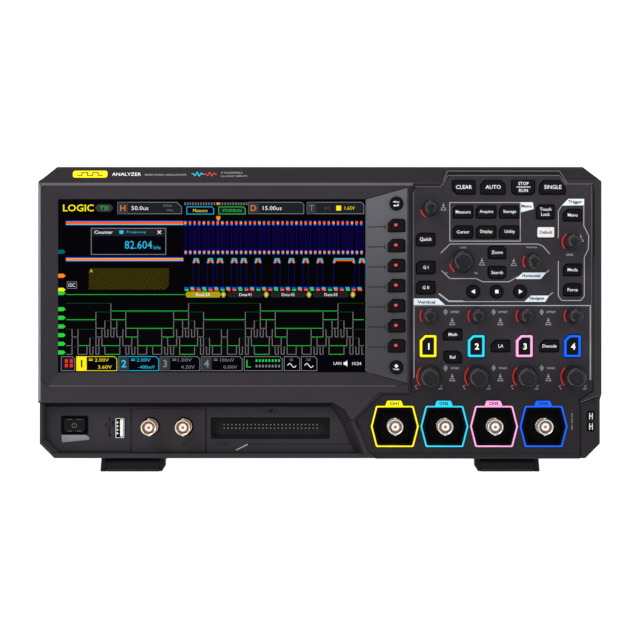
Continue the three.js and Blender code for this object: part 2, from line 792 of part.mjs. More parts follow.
const SHEET = 1.4; // sheet metal of the tray
const BOARD = 1.6; // thickness of a circuit board
const LCD = { margin: 4, front: -45.3, back: -38.5, frameBack: -37.3, frameInset: 30 };
const TRAY = { half: 170, front: -24, back: 16, bottom: 16, top: 184, fold: 60 };
const TRAY_HOLES = { x: [-120, -60, 0, 60, 120], z: 150, radius: 9 };
const MAIN = { left: -80, right: 160, front: -17, bottom: 22, top: 178 };
const SHIELDS = { x: [60, 90, 120], half: 12, back: -11, bottom: 35, top: 75 };
const SINK = { left: -20, right: 25, back: -12, bottom: 95, top: 140, fins: 8, finPitch: 5.4, finBack: 4 };
const SUPPLY = { left: -166, right: -92, front: -6, bottom: 66, top: 172, tall: 26 };

function touchGlass() {
  const { left, right, bottom, top } = WINDOW;
  return block(left - 2.6, right + 0.2, DEPTH.glass, DEPTH.glass + 2, bottom - 2.6, top + 2.6);
}

function lcdModule() {
  const { left, right, bottom, top } = WINDOW;
  const { margin, front, back, frameBack, frameInset } = LCD;
  const panel = block(left - margin, right + margin, front, back, bottom - margin, top + margin);
  const frame = block(left - margin, right + margin, back, frameBack, bottom + frameInset, top - frameInset);
  return join(panel, frame);
}

function chassisTray() {
  const { half, front, back, bottom, top, fold } = TRAY;
  const plate = block(-half, half, front, front + SHEET, bottom, top);
  const floor = block(-half, half, front, back, bottom, bottom + SHEET);
  const foldLeft = block(-half, -half + SHEET, front, back, bottom, fold);
  const foldRight = block(half - SHEET, half, front, back, bottom, fold);
  const { x: columns, z, radius } = TRAY_HOLES;
  const holes = columns.map((x) => disc(x, z, radius, front - 2, front + 4, 12));
  return cut(join(plate, floor, foldLeft, foldRight), ...holes);
}

function mainBoard() {
  const { left, right, front, bottom, top } = MAIN;
  const face = front + BOARD - 0.2;
  const board = block(left, right, front, front + BOARD, bottom, top);
  const cans = SHIELDS.x.map((x) =>
    block(x - SHIELDS.half, x + SHIELDS.half, face, SHIELDS.back, SHIELDS.bottom, SHIELDS.top),
  );
  const sink = block(SINK.left, SINK.right, face, SINK.back, SINK.bottom, SINK.top);
  const fins = series(SINK.fins, (index) => {
    const x = SINK.left + 2 + SINK.finPitch * index;
    return block(x, x + 2, SINK.back - 0.1, SINK.finBack, SINK.bottom + 2, SINK.top - 2);
  });
  return join(board, ...cans, sink, ...fins);
}

function powerModule() {
  const { left, right, front, bottom, top, tall } = SUPPLY;
  const face = front + BOARD - 0.1;
  const board = block(left, right, front, front + BOARD, bottom, top);
  const transformer = block(-150, -118, face, tall - 2, 84, 112);
  const sink = block(-112, -109, face, tall, 80, 160);
  const capacitors = [128, 150].map((z) => disc(-140, z, 9, face - 0.1, tall, 16));
  return join(board, transformer, sink, ...capacitors);
}

function fanFrame() {
  const { x, z, side, front, back, bore } = FAN;
  const frame = block(x - side / 2, x + side / 2, front, back, z - side / 2, z + side / 2);
  const hole = disc(x, z, bore, front - 1, back + 1, 32);
  const arms = block(x - side / 2 + 1, x + side / 2 - 1, front, front + 2, z - 2, z + 2);
  return join(cut(frame, hole), arms);
}

function fanRotor() {
  const { x, z, front, back, bore, hub, blades } = FAN;
  const wheel = disc(x, z, hub, front + 2.6, back - 1, 20);
  const pitch = 0.7;
  const blade = (index) => {
    const geometry = new THREE.BoxGeometry(bore - hub, 1.6, 9);
    geometry.rotateX(pitch).translate((bore + hub) / 2 - 1, 0, 0);
    geometry.rotateY((2 * Math.PI * index) / blades).translate(x, (front + back) / 2 + 1, z);
    return solidOf(geometry);
  };
  return join(wheel, ...series(blades, blade));
}

// ---------------------------------------------------------------- assembly

const plastic = (color, roughness = 0.65) => ({ color, roughness, metalness: 0 });
const metal = (color, roughness = 0.35) => ({ color, roughness, metalness: 1 });
const CHARCOAL = plastic(0x3c3c40);
const KEY_BLACK = plastic(0x1b1b1d, 0.5);
const CHANNEL_COLOURS = [0xf2e214, 0x3cc8e1, 0xf5a0d7, 0x0a5aeb];

const logicAnalyzer = new THREE.Group();

function addPart(name, solid, finish) {
  const mesh = new THREE.Mesh(geometryOf(solid), new THREE.MeshStandardMaterial(finish));
  mesh.name = name;
  logicAnalyzer.add(mesh);
}

addPart("front_panel", frontPanel(), CHARCOAL);
addPart("rear_cover", rearCover(), plastic(0x343438));
addPart("touch_glass", touchGlass(), plastic(0x0a0d14, 0.1));
addPart("lcd_module", lcdModule(), metal(0x8c9096));
addPart("softkey_fascia", softkeyFascia(), plastic(0x66676b));
addPart("chassis_tray", chassisTray(), metal(0xb0b3b5));
addPart("main_board", mainBoard(), plastic(0x14502c));
addPart("power_module", powerModule(), plastic(0x2f6a3a));
addPart("fan_frame", fanFrame(), plastic(0x161616));
addPart("fan_rotor", fanRotor(), plastic(0x202020));
addPart("input_bnc_block", inputBlock(), metal(0xc9c2b4));
addPart("generator_bnc_pair", generatorPair(), metal(0xc9b89a));
addPart("logic_header", logicHeader(), plastic(0x101012));
addPart("usb_port", usbPort(), metal(0xd0d2d4));
addPart("probe_comp_terminals", probeTerminals(), metal(0xc8ccd0));
addPart("rear_port_plate", rearPortPlate(), metal(0x9a9da0));
addPart("mains_inlet", mainsInlet(), plastic(0x0e0e10));
addPart("carry_handle", carryHandle(), plastic(0x2a2a2d));
addPart("front_leg_left", tiltLeg(-1), KEY_BLACK);
addPart("front_leg_right", tiltLeg(1), KEY_BLACK);
addPart("softkey_keypad", softkeyKeypad(), KEY_BLACK);
addPart("menu_keypad", menuKeypad(), KEY_BLACK);
addPart("power_key", powerKey(), KEY_BLACK);

for (const [name, outline] of Object.entries(keyOutlines)) {
  const channel = name.startsWith("channel_key_") ? Number(name.at(-1)) : 0;
  const finish = channel ? plastic(CHANNEL_COLOURS[channel - 1], 0.4) : KEY_BLACK;
  addPart(name, keyCap(outline), finish);
}
for (const [name, x] of Object.entries(navKeys)) {
  addPart(name, roundCap(x, NAV.z, NAV.radius), KEY_BLACK);
}
for (const [name, place] of Object.entries(knobs)) {
  addPart(name, knob(place), KEY_BLACK);
}

export default logicAnalyzer;
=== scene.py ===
"""A benchtop mixed-signal logic analyzer, built in millimetres round its CAD frame.

Shapes are laid out on faces: a face has x to the right, up, and out towards the viewer.
On the front face, out is the distance in front of the middle of the case.
"""

import math

import bmesh
import bpy
import numpy as np
from mathutils import Matrix, Vector
from mathutils.geometry import delaunay_2d_cdt


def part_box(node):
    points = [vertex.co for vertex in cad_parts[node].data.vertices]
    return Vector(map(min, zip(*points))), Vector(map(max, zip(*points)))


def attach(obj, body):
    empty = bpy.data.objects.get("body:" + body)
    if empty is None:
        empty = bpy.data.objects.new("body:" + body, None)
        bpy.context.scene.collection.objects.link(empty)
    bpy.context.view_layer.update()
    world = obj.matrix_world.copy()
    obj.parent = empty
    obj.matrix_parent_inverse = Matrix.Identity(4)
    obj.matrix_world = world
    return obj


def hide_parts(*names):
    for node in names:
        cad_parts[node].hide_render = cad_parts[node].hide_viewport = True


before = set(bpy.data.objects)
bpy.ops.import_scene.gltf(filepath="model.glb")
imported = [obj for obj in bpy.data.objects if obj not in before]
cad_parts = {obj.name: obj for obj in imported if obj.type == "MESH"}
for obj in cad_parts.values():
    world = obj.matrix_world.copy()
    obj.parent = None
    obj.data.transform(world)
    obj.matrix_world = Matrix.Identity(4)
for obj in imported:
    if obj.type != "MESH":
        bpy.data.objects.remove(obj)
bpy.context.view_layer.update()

MM = 0.001
# Turns a shape's x, up and out into the part's x, z and -y.
UPRIGHT = Matrix(((1, 0, 0, 0), (0, 0, -1, 0), (0, 1, 0, 0), (0, 0, 0, 1)))

# The case, and how far out its faces lie.
CASE = {"half_width": 183.5, "top": 199.0, "bottom": 9.0}
OUT = {"rim": 53.0, "face": 51.0, "glass": 47.7, "bay": 44.0, "bezel_back": 27.2}
PRINT = 0.05  # thickness of the printing
SUNK = 0.02  # how far the printing reaches into the face under it


# ---------------------------------------------------------------- places


def face_at(x=0.0, y=0.0, z=0.0, turn=0.0, lean=0.0):
    """A face through a point, turned about the vertical and leaning back, both in degrees."""
    spin = Matrix.Rotation(math.radians(turn), 4, "Z") @ Matrix.Rotation(-math.radians(lean), 4, "X")
    return Matrix.Translation((x, y, z)) @ spin @ UPRIGHT


def spun(x, up, angle, out=0.0):
    """A place on a face, turned about the line that runs out from it."""
    return Matrix.Translation((x, up, out)) @ Matrix.Rotation(angle, 4, "Z")


FRONT = face_at()
REAR = face_at(turn=180)
RIGHT = face_at(turn=90)
TOP = face_at(lean=90)
WORLD = Matrix.Identity(4)


def box_mm(node):
    low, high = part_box(node)
    return [value / MM for value in low], [value / MM for value in high]


def centre_mm(node):
    low, high = box_mm(node)
    return (low[0] + high[0]) / 2, (low[2] + high[2]) / 2


# ---------------------------------------------------------------- outlines


def fillet(outline, radius, steps=4):
    """The outline with its corners rounded. radius is one number, or one for each corner."""
    count = len(outline)
    radii = radius if isinstance(radius, (list, tuple)) else [radius] * count
    points = []
    for index, size in enumerate(radii):
        corner = Vector(outline[index])
        before = Vector(outline[index - 1]) - corner
        after = Vector(outline[(index + 1) % count]) - corner
        if size <= 0:
            points.append(tuple(corner))
            continue
        half = before.angle(after) / 2
        reach = min(size / math.tan(half), before.length * 0.48, after.length * 0.48)
        middle = (before.normalized() + after.normalized()).normalized()
        centre = corner + middle * (reach / math.cos(half))
        start = corner + before.normalized() * reach - centre
        end = corner + after.normalized() * reach - centre
        first = math.atan2(start.y, start.x)
        sweep = (math.atan2(end.y, end.x) - first + math.pi) % (2 * math.pi) - math.pi
        for step in range(steps + 1):
            angle = first + sweep * step / steps
            x = centre.x + start.length * math.cos(angle)
            z = centre.y + start.length * math.sin(angle)
            points.append((x, z))
    return points


def cornered(x, z, width, height, tl=0.0, tr=0.0, br=0.0, bl=0.0, radius=0.5):
    """A rectangle with corners cut off, then rounded."""
    left, right = x - width / 2, x + width / 2
    low, high = z - height / 2, z + height / 2
    points = []
    for size, first, second in (
        (bl, (left, low + bl), (left + bl, low)),
        (br, (right - br, low), (right, low + br)),
        (tr, (right, high - tr), (right - tr, high)),
        (tl, (left + tl, high), (left, high - tl)),
    ):
        points += [first, second] if size else [first]
    return fillet(points, radius) if radius else points


def rect(x0, z0, x1, z1, radius=0.0):
    return cornered((x0 + x1) / 2, (z0 + z1) / 2, x1 - x0, z1 - z0, radius=radius)


def widened(x0, z0, x1, z1, by, radius=0.0):
    """A rectangle made larger on every side, or smaller where the amount is negative."""
    return rect(x0 - by, z0 - by, x1 + by, z1 + by, radius)


def circle(x, z, radius, steps=40):
    angles = [2 * math.pi * k / steps for k in range(steps)]
    return [(x + radius * math.cos(a), z + radius * math.sin(a)) for a in angles]


def offset(points, distance, closed):
    """The path moved sideways, with mitred corners."""
    moved = []
    count = len(points)
    for index, point in enumerate(points):
        here = Vector(point)
        before = here - Vector(points[index - 1]) if closed or index else None
        after = Vector(points[(index + 1) % count]) - here if closed or index < count - 1 else None
        before = before or after
        after = after or before
        side = (before.normalized() + after.normalized()).normalized()
        normal = Vector((-side.y, side.x))
        stretch = max(normal.dot(Vector((-before.y, before.x)).normalized()), 0.4)
        moved.append(tuple(here + normal * (distance / stretch)))
    return moved


def ribbon(points, width, closed=False):
    """The outlines of a line of that width: one for an open line, two for a closed one."""
    left = offset(points, width / 2, closed)
    right = offset(points, -width / 2, closed)
    return [left, right] if closed else [left + right[::-1]]


def arc(x, z, radius, start, end, steps=16):
    angles = [math.radians(start + (end - start) * k / steps) for k in range(steps + 1)]
    return [(x + radius * math.cos(a), z + radius * math.sin(a)) for a in angles]


def grown(outline, amount):
    """The outline stretched until it is larger by the amount on every side."""
    xs, zs = [p[0] for p in outline], [p[1] for p in outline]
    cx, cz = (min(xs) + max(xs)) / 2, (min(zs) + max(zs)) / 2
    kx = 1 + 2 * amount / (max(xs) - min(xs))
    kz = 1 + 2 * amount / (max(zs) - min(zs))
    return [(cx + (x - cx) * kx, cz + (z - cz) * kz) for x, z in outline]


def case_outline(inset, top=CASE["top"], top_cut=(12.0, 9.5)):
    """The front of the case, a little narrower below its waist, with cut corners."""
    side = CASE["half_width"] - inset
    low = CASE["bottom"] + inset
    high = top - inset
    cut = 9.5
    waist, left, right = 47.0, side - 0.8, side - 1.1
    across, down = top_cut
    points = [(-side, waist + 2), (-left, waist), (-left, low + cut), (-left + cut, low)]
    points += [(right - cut, low), (right, low + cut), (right, waist), (side, waist + 4)]
    points += [(side, high - down), (side - across, high), (-side + across, high), (-side, high - down)]
    return fillet(points, 1.2)


# ---------------------------------------------------------------- pieces


SHARP_EDGE = math.radians(38)


class Piece:
    """Solids in millimetres, each with a material, made into one object that rides on a body."""

    def __init__(self, name, body="housing", place=FRONT):
        self.name, self.body, self.place = name, body, place
        self.bm = bmesh.new()
        self.materials = []

    def take(self, mesh, material, place=None):
        if material not in self.materials:
            self.materials.append(material)
        mesh.transform(place or self.place)
        index = self.materials.index(material)
        mesh.polygons.foreach_set("material_index", [index] * len(mesh.polygons))
        self.bm.from_mesh(mesh)
        bpy.data.meshes.remove(mesh)

    def plate(self, loops, low, high, material, edge=0.0, steps=2, both=False, place=None):
        """A flat plate between two heights: the largest loop is its outline and the others are holes."""
        self.take(plate_mesh(loops, low, high, edge, steps, both), material, place)

    def turned(self, profile, x, z, material, segments=40, ripple=None, ring=False, place=None):
        """A profile of (radius, out) pairs turned about the line through x, z."""
        self.take(turned_mesh(profile, x, z, segments, ripple, ring), material, place)

    def facet(self, points, thickness, material, edge=0.0, place=None):
        """A flat-faced solid: its front is a polygon of (x, up, out) points."""
        self.sheet(points, [range(len(points))], thickness, material, edge, place)

    def sheet(self, points, faces, thickness, material, edge=0.25, place=None):
        """A folded plate: faces index (x, up, out) points on its front, which faces out."""
        bm = bmesh.new()
        front = [bm.verts.new(point) for point in points]
        back = [bm.verts.new((x, z, out - thickness)) for x, z, out in points]
        for face in faces:
            bm.faces.new([front[k] for k in face])
            bm.faces.new([back[k] for k in reversed(face)])
        index = {vert: k for k, vert in enumerate(front)}
        for rim in [e for e in bm.edges if len(e.link_faces) == 1 and e.verts[0] in index]:
            first, second = rim.verts
            bm.faces.new((first, second, back[index[second]], back[index[first]]))
        bmesh.ops.delete(bm, geom=[v for v in bm.verts if not v.link_faces], context="VERTS")
        bmesh.ops.recalc_face_normals(bm, faces=bm.faces)
        if edge:
            bmesh.ops.bevel(bm, geom=bm.edges[:], offset=edge, segments=2, profile=0.5, affect="EDGES")
        self.take(mesh_from(bm), material, place)

    def block(self, x0, x1, z0, z1, low, high, material, edge=0.0, place=None):
        corners = [(x0, z0, high), (x1, z0, high), (x1, z1, high), (x0, z1, high)]
        self.facet(corners, high - low, material, edge, place)

    def text(self, words, x, z, height, out, material, width=None, depth=PRINT, weight=0.008, place=None):
        """Lettering centred on x, z, scaled to a height and, where one is given, to a width."""
        curve = bpy.data.curves.new("words", "FONT")
        curve.body, curve.resolution_u, curve.extrude, curve.offset = words, 2, 0.5, weight
        holder = bpy.data.objects.new("words", curve)
        mesh = bpy.data.meshes.new_from_object(holder)
        bpy.data.objects.remove(holder)
        bpy.data.curves.remove(curve)
        xs = [v.co.x for v in mesh.vertices]
        ys = [v.co.y for v in mesh.vertices]
        scale = height / (max(ys) - min(ys))
        across = width / (max(xs) - min(xs)) if width else scale
        middle = Matrix.Translation((-(min(xs) + max(xs)) / 2, -(min(ys) + max(ys)) / 2, 0.5))
        stretch = Matrix.Diagonal((across, scale, depth, 1))
        mesh.transform(Matrix.Translation((x, z, out)) @ stretch @ middle)
        self.take(mesh, material, place)

    def lines(self, points, width, out, material, closed=False, depth=PRINT, place=None):
        """A printed line through the points."""
        self.plate(ribbon(points, width, closed), out - SUNK, out + depth, material, place=place)

    def mark(self, outline, out, material):
        """A printed shape."""
        self.plate([outline], out - SUNK, out + PRINT, material)

    def finish(self, slot, *nodes):
        """Makes the object, rides it on its body, and hides the CAD nodes that it stands for."""
        mesh = mesh_from(self.bm)
        mesh.transform(Matrix.Scale(MM, 4))
        for material in self.materials:
            mesh.materials.append(material)
        mesh.polygons.foreach_set("use_smooth", [True] * len(mesh.polygons))
        mesh.set_sharp_from_angle(angle=SHARP_EDGE)
        made = bpy.data.objects.new(self.name, mesh)
        bpy.context.scene.collection.objects.link(made)
        weighted = made.modifiers.new("weighted normals", "WEIGHTED_NORMAL")
        weighted.keep_sharp = True
        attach(made, self.body)
        if nodes:
            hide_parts(*nodes)


def mesh_from(bm):
    mesh = bpy.data.meshes.new("mesh")
    bm.to_mesh(mesh)
    bm.free()
    return mesh


def area_of(loop):
    """The area inside a loop, below 0 if it runs clockwise."""
    return sum(x * loop[k - 1][1] - loop[k - 1][0] * z for k, (x, z) in enumerate(loop)) / -2


def inside(points, loops):
    """For each point, whether an odd number of loops goes round it."""
    crossings = np.zeros(len(points), int)
    for loop in loops:
        for (x0, z0), (x1, z1) in zip(loop, loop[1:] + loop[:1]):
            spans = (z0 > points[:, 1]) != (z1 > points[:, 1])
            level = (points[:, 1] - z0) / (z1 - z0 if z1 != z0 else 1.0)
            crossings += spans & (points[:, 0] < x0 + level * (x1 - x0))
    return crossings % 2 == 1


def filled(loops):
    """The points and triangles that fill the loops, leaving their holes open."""
    points = [Vector(point) for loop in loops for point in loop]
    edges = []
    for loop in loops:
        first = len(edges)
        edges += [(first + k, first + (k + 1) % len(loop)) for k in range(len(loop))]
    points, _, faces, _, _, _ = delaunay_2d_cdt(points, edges, [], 0, 1e-5)
    flat = np.array([tuple(point) for point in points])
    centres = flat[np.array(faces)].mean(axis=1)
    return points, [face for face, keep in zip(faces, inside(centres, loops)) if keep]


def plate_mesh(loops, low, high, edge=0.0, steps=2, both=False):
    """A plate between two heights, with the edge of its front, or of both faces, rounded."""
    outline, *holes = sorted(map(distinct, loops), key=lambda loop: -abs(area_of(loop)))
    wound = [outline if area_of(outline) > 0 else outline[::-1]]
    wound += [hole[::-1] if area_of(hole) > 0 else hole for hole in holes]
    turns = [math.pi / 2 * step / steps for step in range(1, steps + 1)] if edge else []
    rounding = [(edge * (1 - math.cos(angle)), edge * (1 - math.sin(angle))) for angle in turns]
    rings = [(inset, low + depth) for inset, depth in rounding[::-1]] if both else []
    rings += [(0.0, low + edge if both else low), (0.0, high - edge)]
    rings += [(inset, high - depth) for inset, depth in rounding]
    bm = bmesh.new()
    for loop in wound:
        levels = []
        for inset, out in rings:
            levels.append([bm.verts.new((x, z, out)) for x, z in offset(loop, inset, True)])
        for lower, upper in zip(levels, levels[1:]):
            for k in range(len(loop)):
                n = (k + 1) % len(loop)
                bm.faces.new((lower[k], lower[n], upper[n], upper[k]))
    for inset, out in (rings[0], rings[-1]):
        points, faces = filled([offset(loop, inset, True) for loop in wound])
        verts = [bm.verts.new((point.x, point.y, out)) for point in points]
        for face in faces:
            corners = [verts[k] for k in face]
            bm.faces.new(corners if out > (low + high) / 2 else corners[::-1])
    bmesh.ops.remove_doubles(bm, verts=bm.verts, dist=1e-4)
    return mesh_from(bm)


def distinct(loop):
    """The loop without points that lie on the one before."""
    return [point for k, point in enumerate(loop) if math.dist(point, loop[k - 1]) > 1e-3]


def turned_mesh(profile, x, z, segments, ripple=None, ring=False):
    """A profile of (radius, out) pairs turned about a line. A ring's profile closes on itself."""
    bm = bmesh.new()
    rings = []
    for radius, out in profile:
        if radius < 1e-6:
            rings.append([bm.verts.new((x, z, out))])
            continue
        turn = []
        for k in range(segments):
            angle = 2 * math.pi * k / segments
            r = ripple(radius, out, angle) if ripple else radius
            turn.append(bm.verts.new((x + r * math.cos(angle), z + r * math.sin(angle), out)))
        rings.append(turn)
    if ring:
        rings.append(rings[0])
    for first, second in zip(rings, rings[1:]):
        for k in range(segments):
            n = (k + 1) % segments
            if len(first) == 1:
                bm.faces.new((first[0], second[k], second[n]))
            elif len(second) == 1:
                bm.faces.new((first[k], second[0], first[n]))
            else:
                bm.faces.new((first[k], second[k], second[n], first[n]))
    bmesh.ops.recalc_face_normals(bm, faces=bm.faces)
    return mesh_from(bm)


# ---------------------------------------------------------------- materials


def srgb(red, green, blue):
    """Screen colour values from 0 to 255 as a linear colour."""
    shares = (red / 255, green / 255, blue / 255)
    return (*(c / 12.92 if c <= 0.04045 else ((c + 0.055) / 1.055) ** 2.4 for c in shares), 1.0)


class Graph:
    """A material's node tree, with short ways to add and link nodes."""

    def __init__(self, name):
        self.material = bpy.data.materials.new(name)
        self.material.use_nodes = True
        self.nodes = self.material.node_tree.nodes
        self.links = self.material.node_tree.links
        self.shader = self.nodes["Principled BSDF"]
        self.coordinates = self.nodes.new("ShaderNodeTexCoord").outputs["Object"]

    def set(self, **values):
        for name, value in values.items():
            self.shader.inputs[name.replace("_", " ")].default_value = value

    def noise(self, scale, detail=3.0, stretch=None):
        node = self.nodes.new("ShaderNodeTexNoise")
        node.inputs["Scale"].default_value = scale
        node.inputs["Detail"].default_value = detail
        source = self.coordinates
        if stretch:
            mapping = self.nodes.new("ShaderNodeMapping")
            mapping.inputs["Scale"].default_value = stretch
            self.links.new(source, mapping.inputs["Vector"])
            source = mapping.outputs["Vector"]
        self.links.new(source, node.inputs["Vector"])
        return node.outputs["Fac"]

    def ramp(self, value, low, high, at=(0.3, 0.7)):
        node = self.nodes.new("ShaderNodeValToRGB")
        node.color_ramp.elements[0].position, node.color_ramp.elements[1].position = at
        node.color_ramp.elements[0].color, node.color_ramp.elements[1].color = low, high
        self.links.new(value, node.inputs["Fac"])
        return node.outputs["Color"]

    def mix(self, share, first, second):
        node = self.nodes.new("ShaderNodeMix")
        node.data_type = "RGBA"
        colours = [socket for socket in node.inputs if socket.type == "RGBA"]
        for socket, value in zip((node.inputs["Factor"], *colours), (share, first, second)):
            if isinstance(value, bpy.types.NodeSocket):
                self.links.new(value, socket)
            else:
                socket.default_value = value
        return next(socket for socket in node.outputs if socket.type == "RGBA")

    def height(self, low, high):
        """0 below the low level and 1 above the high one, both in metres up the part."""
        split = self.nodes.new("ShaderNodeSeparateXYZ")
        share = self.nodes.new("ShaderNodeMapRange")
        share.inputs["From Min"].default_value = low
        share.inputs["From Max"].default_value = high
        self.links.new(self.coordinates, split.inputs["Vector"])
        self.links.new(split.outputs["Z"], share.inputs["Value"])
        return share.outputs["Result"]

    def range(self, value, low, high):
        node = self.nodes.new("ShaderNodeMapRange")
        node.inputs["To Min"].default_value, node.inputs["To Max"].default_value = low, high
        self.links.new(value, node.inputs["Value"])
        return node.outputs["Result"]

    def connect(self, output, name):
        self.links.new(output, self.shader.inputs[name])

    def bump(self, height, distance):
        node = self.nodes.new("ShaderNodeBump")
        node.inputs["Strength"].default_value = 1.0
        node.inputs["Distance"].default_value = distance
        self.links.new(height, node.inputs["Height"])
        self.links.new(node.outputs["Normal"], self.shader.inputs["Normal"])

    def edges(self):
        """1 along convex edges, broken up by noise."""
        none, full = (0, 0, 0, 1), (1, 1, 1, 1)
        geometry = self.nodes.new("ShaderNodeNewGeometry")
        convex = self.ramp(geometry.outputs["Pointiness"], none, full, (0.52, 0.6))
        broken = self.ramp(self.noise(700.0), none, full, (0.35, 0.65))
        return self.mix(broken, none, convex)


def shade(colour, factor):
    """A lighter or darker colour."""
    return (*(min(c * factor, 1.0) for c in colour[:3]), 1.0)


def plastic(name, colour, roughness, grain=3000.0, depth=2e-5, edge_wear_and_highlight=1.35, specular=0.4, foot=None):
    """Moulded plastic: a fine eroded grain, slow colour drift, edges lightened for wear and as a painted
    highlight, and uneven gloss.

    The foot is a painted shade: the darker colour that it takes below the knobs."""
    graph = Graph(name)
    drift = graph.ramp(graph.noise(28.0, 4.0), shade(colour, 0.9), shade(colour, 1.1))
    speck = graph.ramp(graph.noise(grain), shade(colour, 0.86), shade(colour, 1.14))
    base = graph.mix(0.45, drift, speck)
    # Painted shade: darker towards the bottom, below the knobs.
    if foot:
        base = graph.mix(graph.height(0.048, 0.08), foot, base)
    # Convex edges are lightened: partly wear, partly a painted highlight on the bevels.
    graph.connect(graph.mix(graph.edges(), base, shade(colour, edge_wear_and_highlight)), "Base Color")
    graph.connect(graph.range(graph.noise(60.0, 5.0), roughness - 0.07, roughness + 0.07), "Roughness")
    graph.set(Specular_IOR_Level=specular)
    graph.bump(graph.noise(grain, 2.0), depth)
    return graph.material


def rubber(name, colour, roughness, specular):
    """Silicone or soft-touch rubber with a soft sheen and a very fine grain."""
    graph = Graph(name)
    speck = graph.ramp(graph.noise(5000.0), shade(colour, 0.8), shade(colour, 1.25))
    dust = graph.ramp(graph.noise(240.0, 5.0), shade(colour, 0.95), shade(colour, 1.3), (0.45, 0.75))
    graph.connect(graph.mix(0.5, speck, dust), "Base Color")
    graph.connect(graph.range(graph.noise(90.0, 4.0), roughness - 0.08, roughness + 0.08), "Roughness")
    sheen = min(0.03, 0.15 * specular)
    graph.set(Specular_IOR_Level=specular, Sheen_Weight=sheen, Sheen_Roughness=0.5)
    graph.bump(graph.noise(5000.0, 2.0), 1.2e-5)
    return graph.material


def metal(name, colour, roughness, brushed=None, share=1.0):
    """Plated or brushed metal, with fine scratches and slight tarnish. Share is how metallic it is."""
    graph = Graph(name)
    stain = graph.ramp(graph.noise(180.0, 5.0), shade(colour, 0.85), colour, (0.3, 0.6))
    graph.connect(stain, "Base Color")
    fine = graph.noise(900.0, 3.0, brushed)
    graph.connect(graph.range(fine, roughness - 0.08, roughness + 0.1), "Roughness")
    graph.set(Metallic=share)
    graph.bump(fine, 6e-6)
    return graph.material


def ink(name, colour, painted_glow=0.0):
    """Screen-printed ink, slightly uneven. An ink with a painted glow shines a little, though no lamp
    lights it.
    """
    graph = Graph(name)
    graph.connect(graph.ramp(graph.noise(2500.0, 2.0), shade(colour, 0.86), colour), "Base Color")
    graph.set(Roughness=0.55, Specular_IOR_Level=0.2)
    if painted_glow:
        graph.set(Emission_Color=colour, Emission_Strength=painted_glow)
    return graph.material


def lit(name, colour, strength=1.15):
    """A part of the display that shines in one colour."""
    graph = Graph(name)
    graph.set(Base_Color=(0.0, 0.0, 0.0, 1.0), Roughness=0.4, Specular_IOR_Level=0.0)
    graph.set(Emission_Color=colour, Emission_Strength=strength)
    return graph.material


def fascia_plastic():
    """Grey plastic with a painted sheen: light grey at the top of the fascia, fading to a darker grey at
    its foot.
    """
    graph = Graph("fascia_plastic")
    painted_sheen_fade = graph.ramp(graph.height(0.1, 0.18), srgb(54, 52, 56), srgb(91, 91, 97), (0.0, 1.0))
    speck = graph.ramp(graph.noise(4000.0), srgb(54, 53, 57), srgb(88, 88, 93))
    graph.connect(graph.mix(0.2, painted_sheen_fade, speck), "Base Color")
    graph.connect(graph.range(graph.noise(60.0, 5.0), 0.38, 0.5), "Roughness")
    graph.set(Specular_IOR_Level=0.2)
    graph.bump(graph.noise(4000.0, 2.0), 1e-5)
    return graph.material


def solder_mask():
    """Green lacquer over the copper tracks of a circuit board."""
    graph = Graph("solder_mask")
    green = srgb(18, 84, 44)
    tracks = graph.nodes.new("ShaderNodeTexBrick")
    tracks.inputs["Scale"].default_value = 240.0
    tracks.inputs["Color1"].default_value = green
    tracks.inputs["Color2"].default_value = shade(green, 1.3)
    tracks.inputs["Mortar"].default_value = srgb(150, 140, 70)
    graph.links.new(graph.coordinates, tracks.inputs["Vector"])
    graph.connect(tracks.outputs["Color"], "Base Color")
    graph.connect(graph.range(graph.noise(300.0), 0.25, 0.45), "Roughness")
    graph.bump(tracks.outputs["Fac"], 3e-5)
    return graph.material


# A darker grey: painted shade on faces turned from the light, and a painted highlight on the legs' black
# lips.
SHADE_AND_SHEEN_GREY = plastic("shade_and_sheen_plastic", srgb(31, 29, 32), 0.55, specular=0.15)
CHARCOAL = plastic("charcoal_plastic", srgb(43, 39, 45), 0.55, specular=0.18)
# The control panel, with painted shade that darkens it towards its foot.
SHADED_PANEL = plastic("panel_plastic_shaded_below", srgb(43, 39, 45), 0.55, specular=0.18, foot=srgb(27, 24, 29))
SHADOW_SHEET = plastic("seam_shadow", srgb(16, 15, 17), 0.8)
COVER = plastic("cover_plastic", srgb(42, 41, 44), 0.6, grain=1700.0, depth=5e-5)
FASCIA = fascia_plastic()
BLACK = plastic("black_plastic", srgb(16, 15, 17), 0.5, specular=0.12)
GLOSS_BLACK = plastic("recess_plastic", srgb(8, 7, 9), 0.4, depth=5e-6, specular=0.12)
KEY = rubber("key_rubber", srgb(13, 11, 14), 0.5, specular=0.07)
KNOB = rubber("knob_rubber", srgb(14, 12, 16), 0.32, specular=0.4)
KNOB_FACE = rubber("knob_face", srgb(17, 15, 20), 0.42, specular=0.22)
KNOB_LIGHT = plastic("rib_highlight", srgb(128, 125, 132), 0.4, edge_wear_and_highlight=1.0)
# A darker grey for the slanted top edge: painted shade.
SHADED_SLOPE = plastic("sloped_edge_shaded", srgb(38, 36, 38), 0.6, specular=0.12)
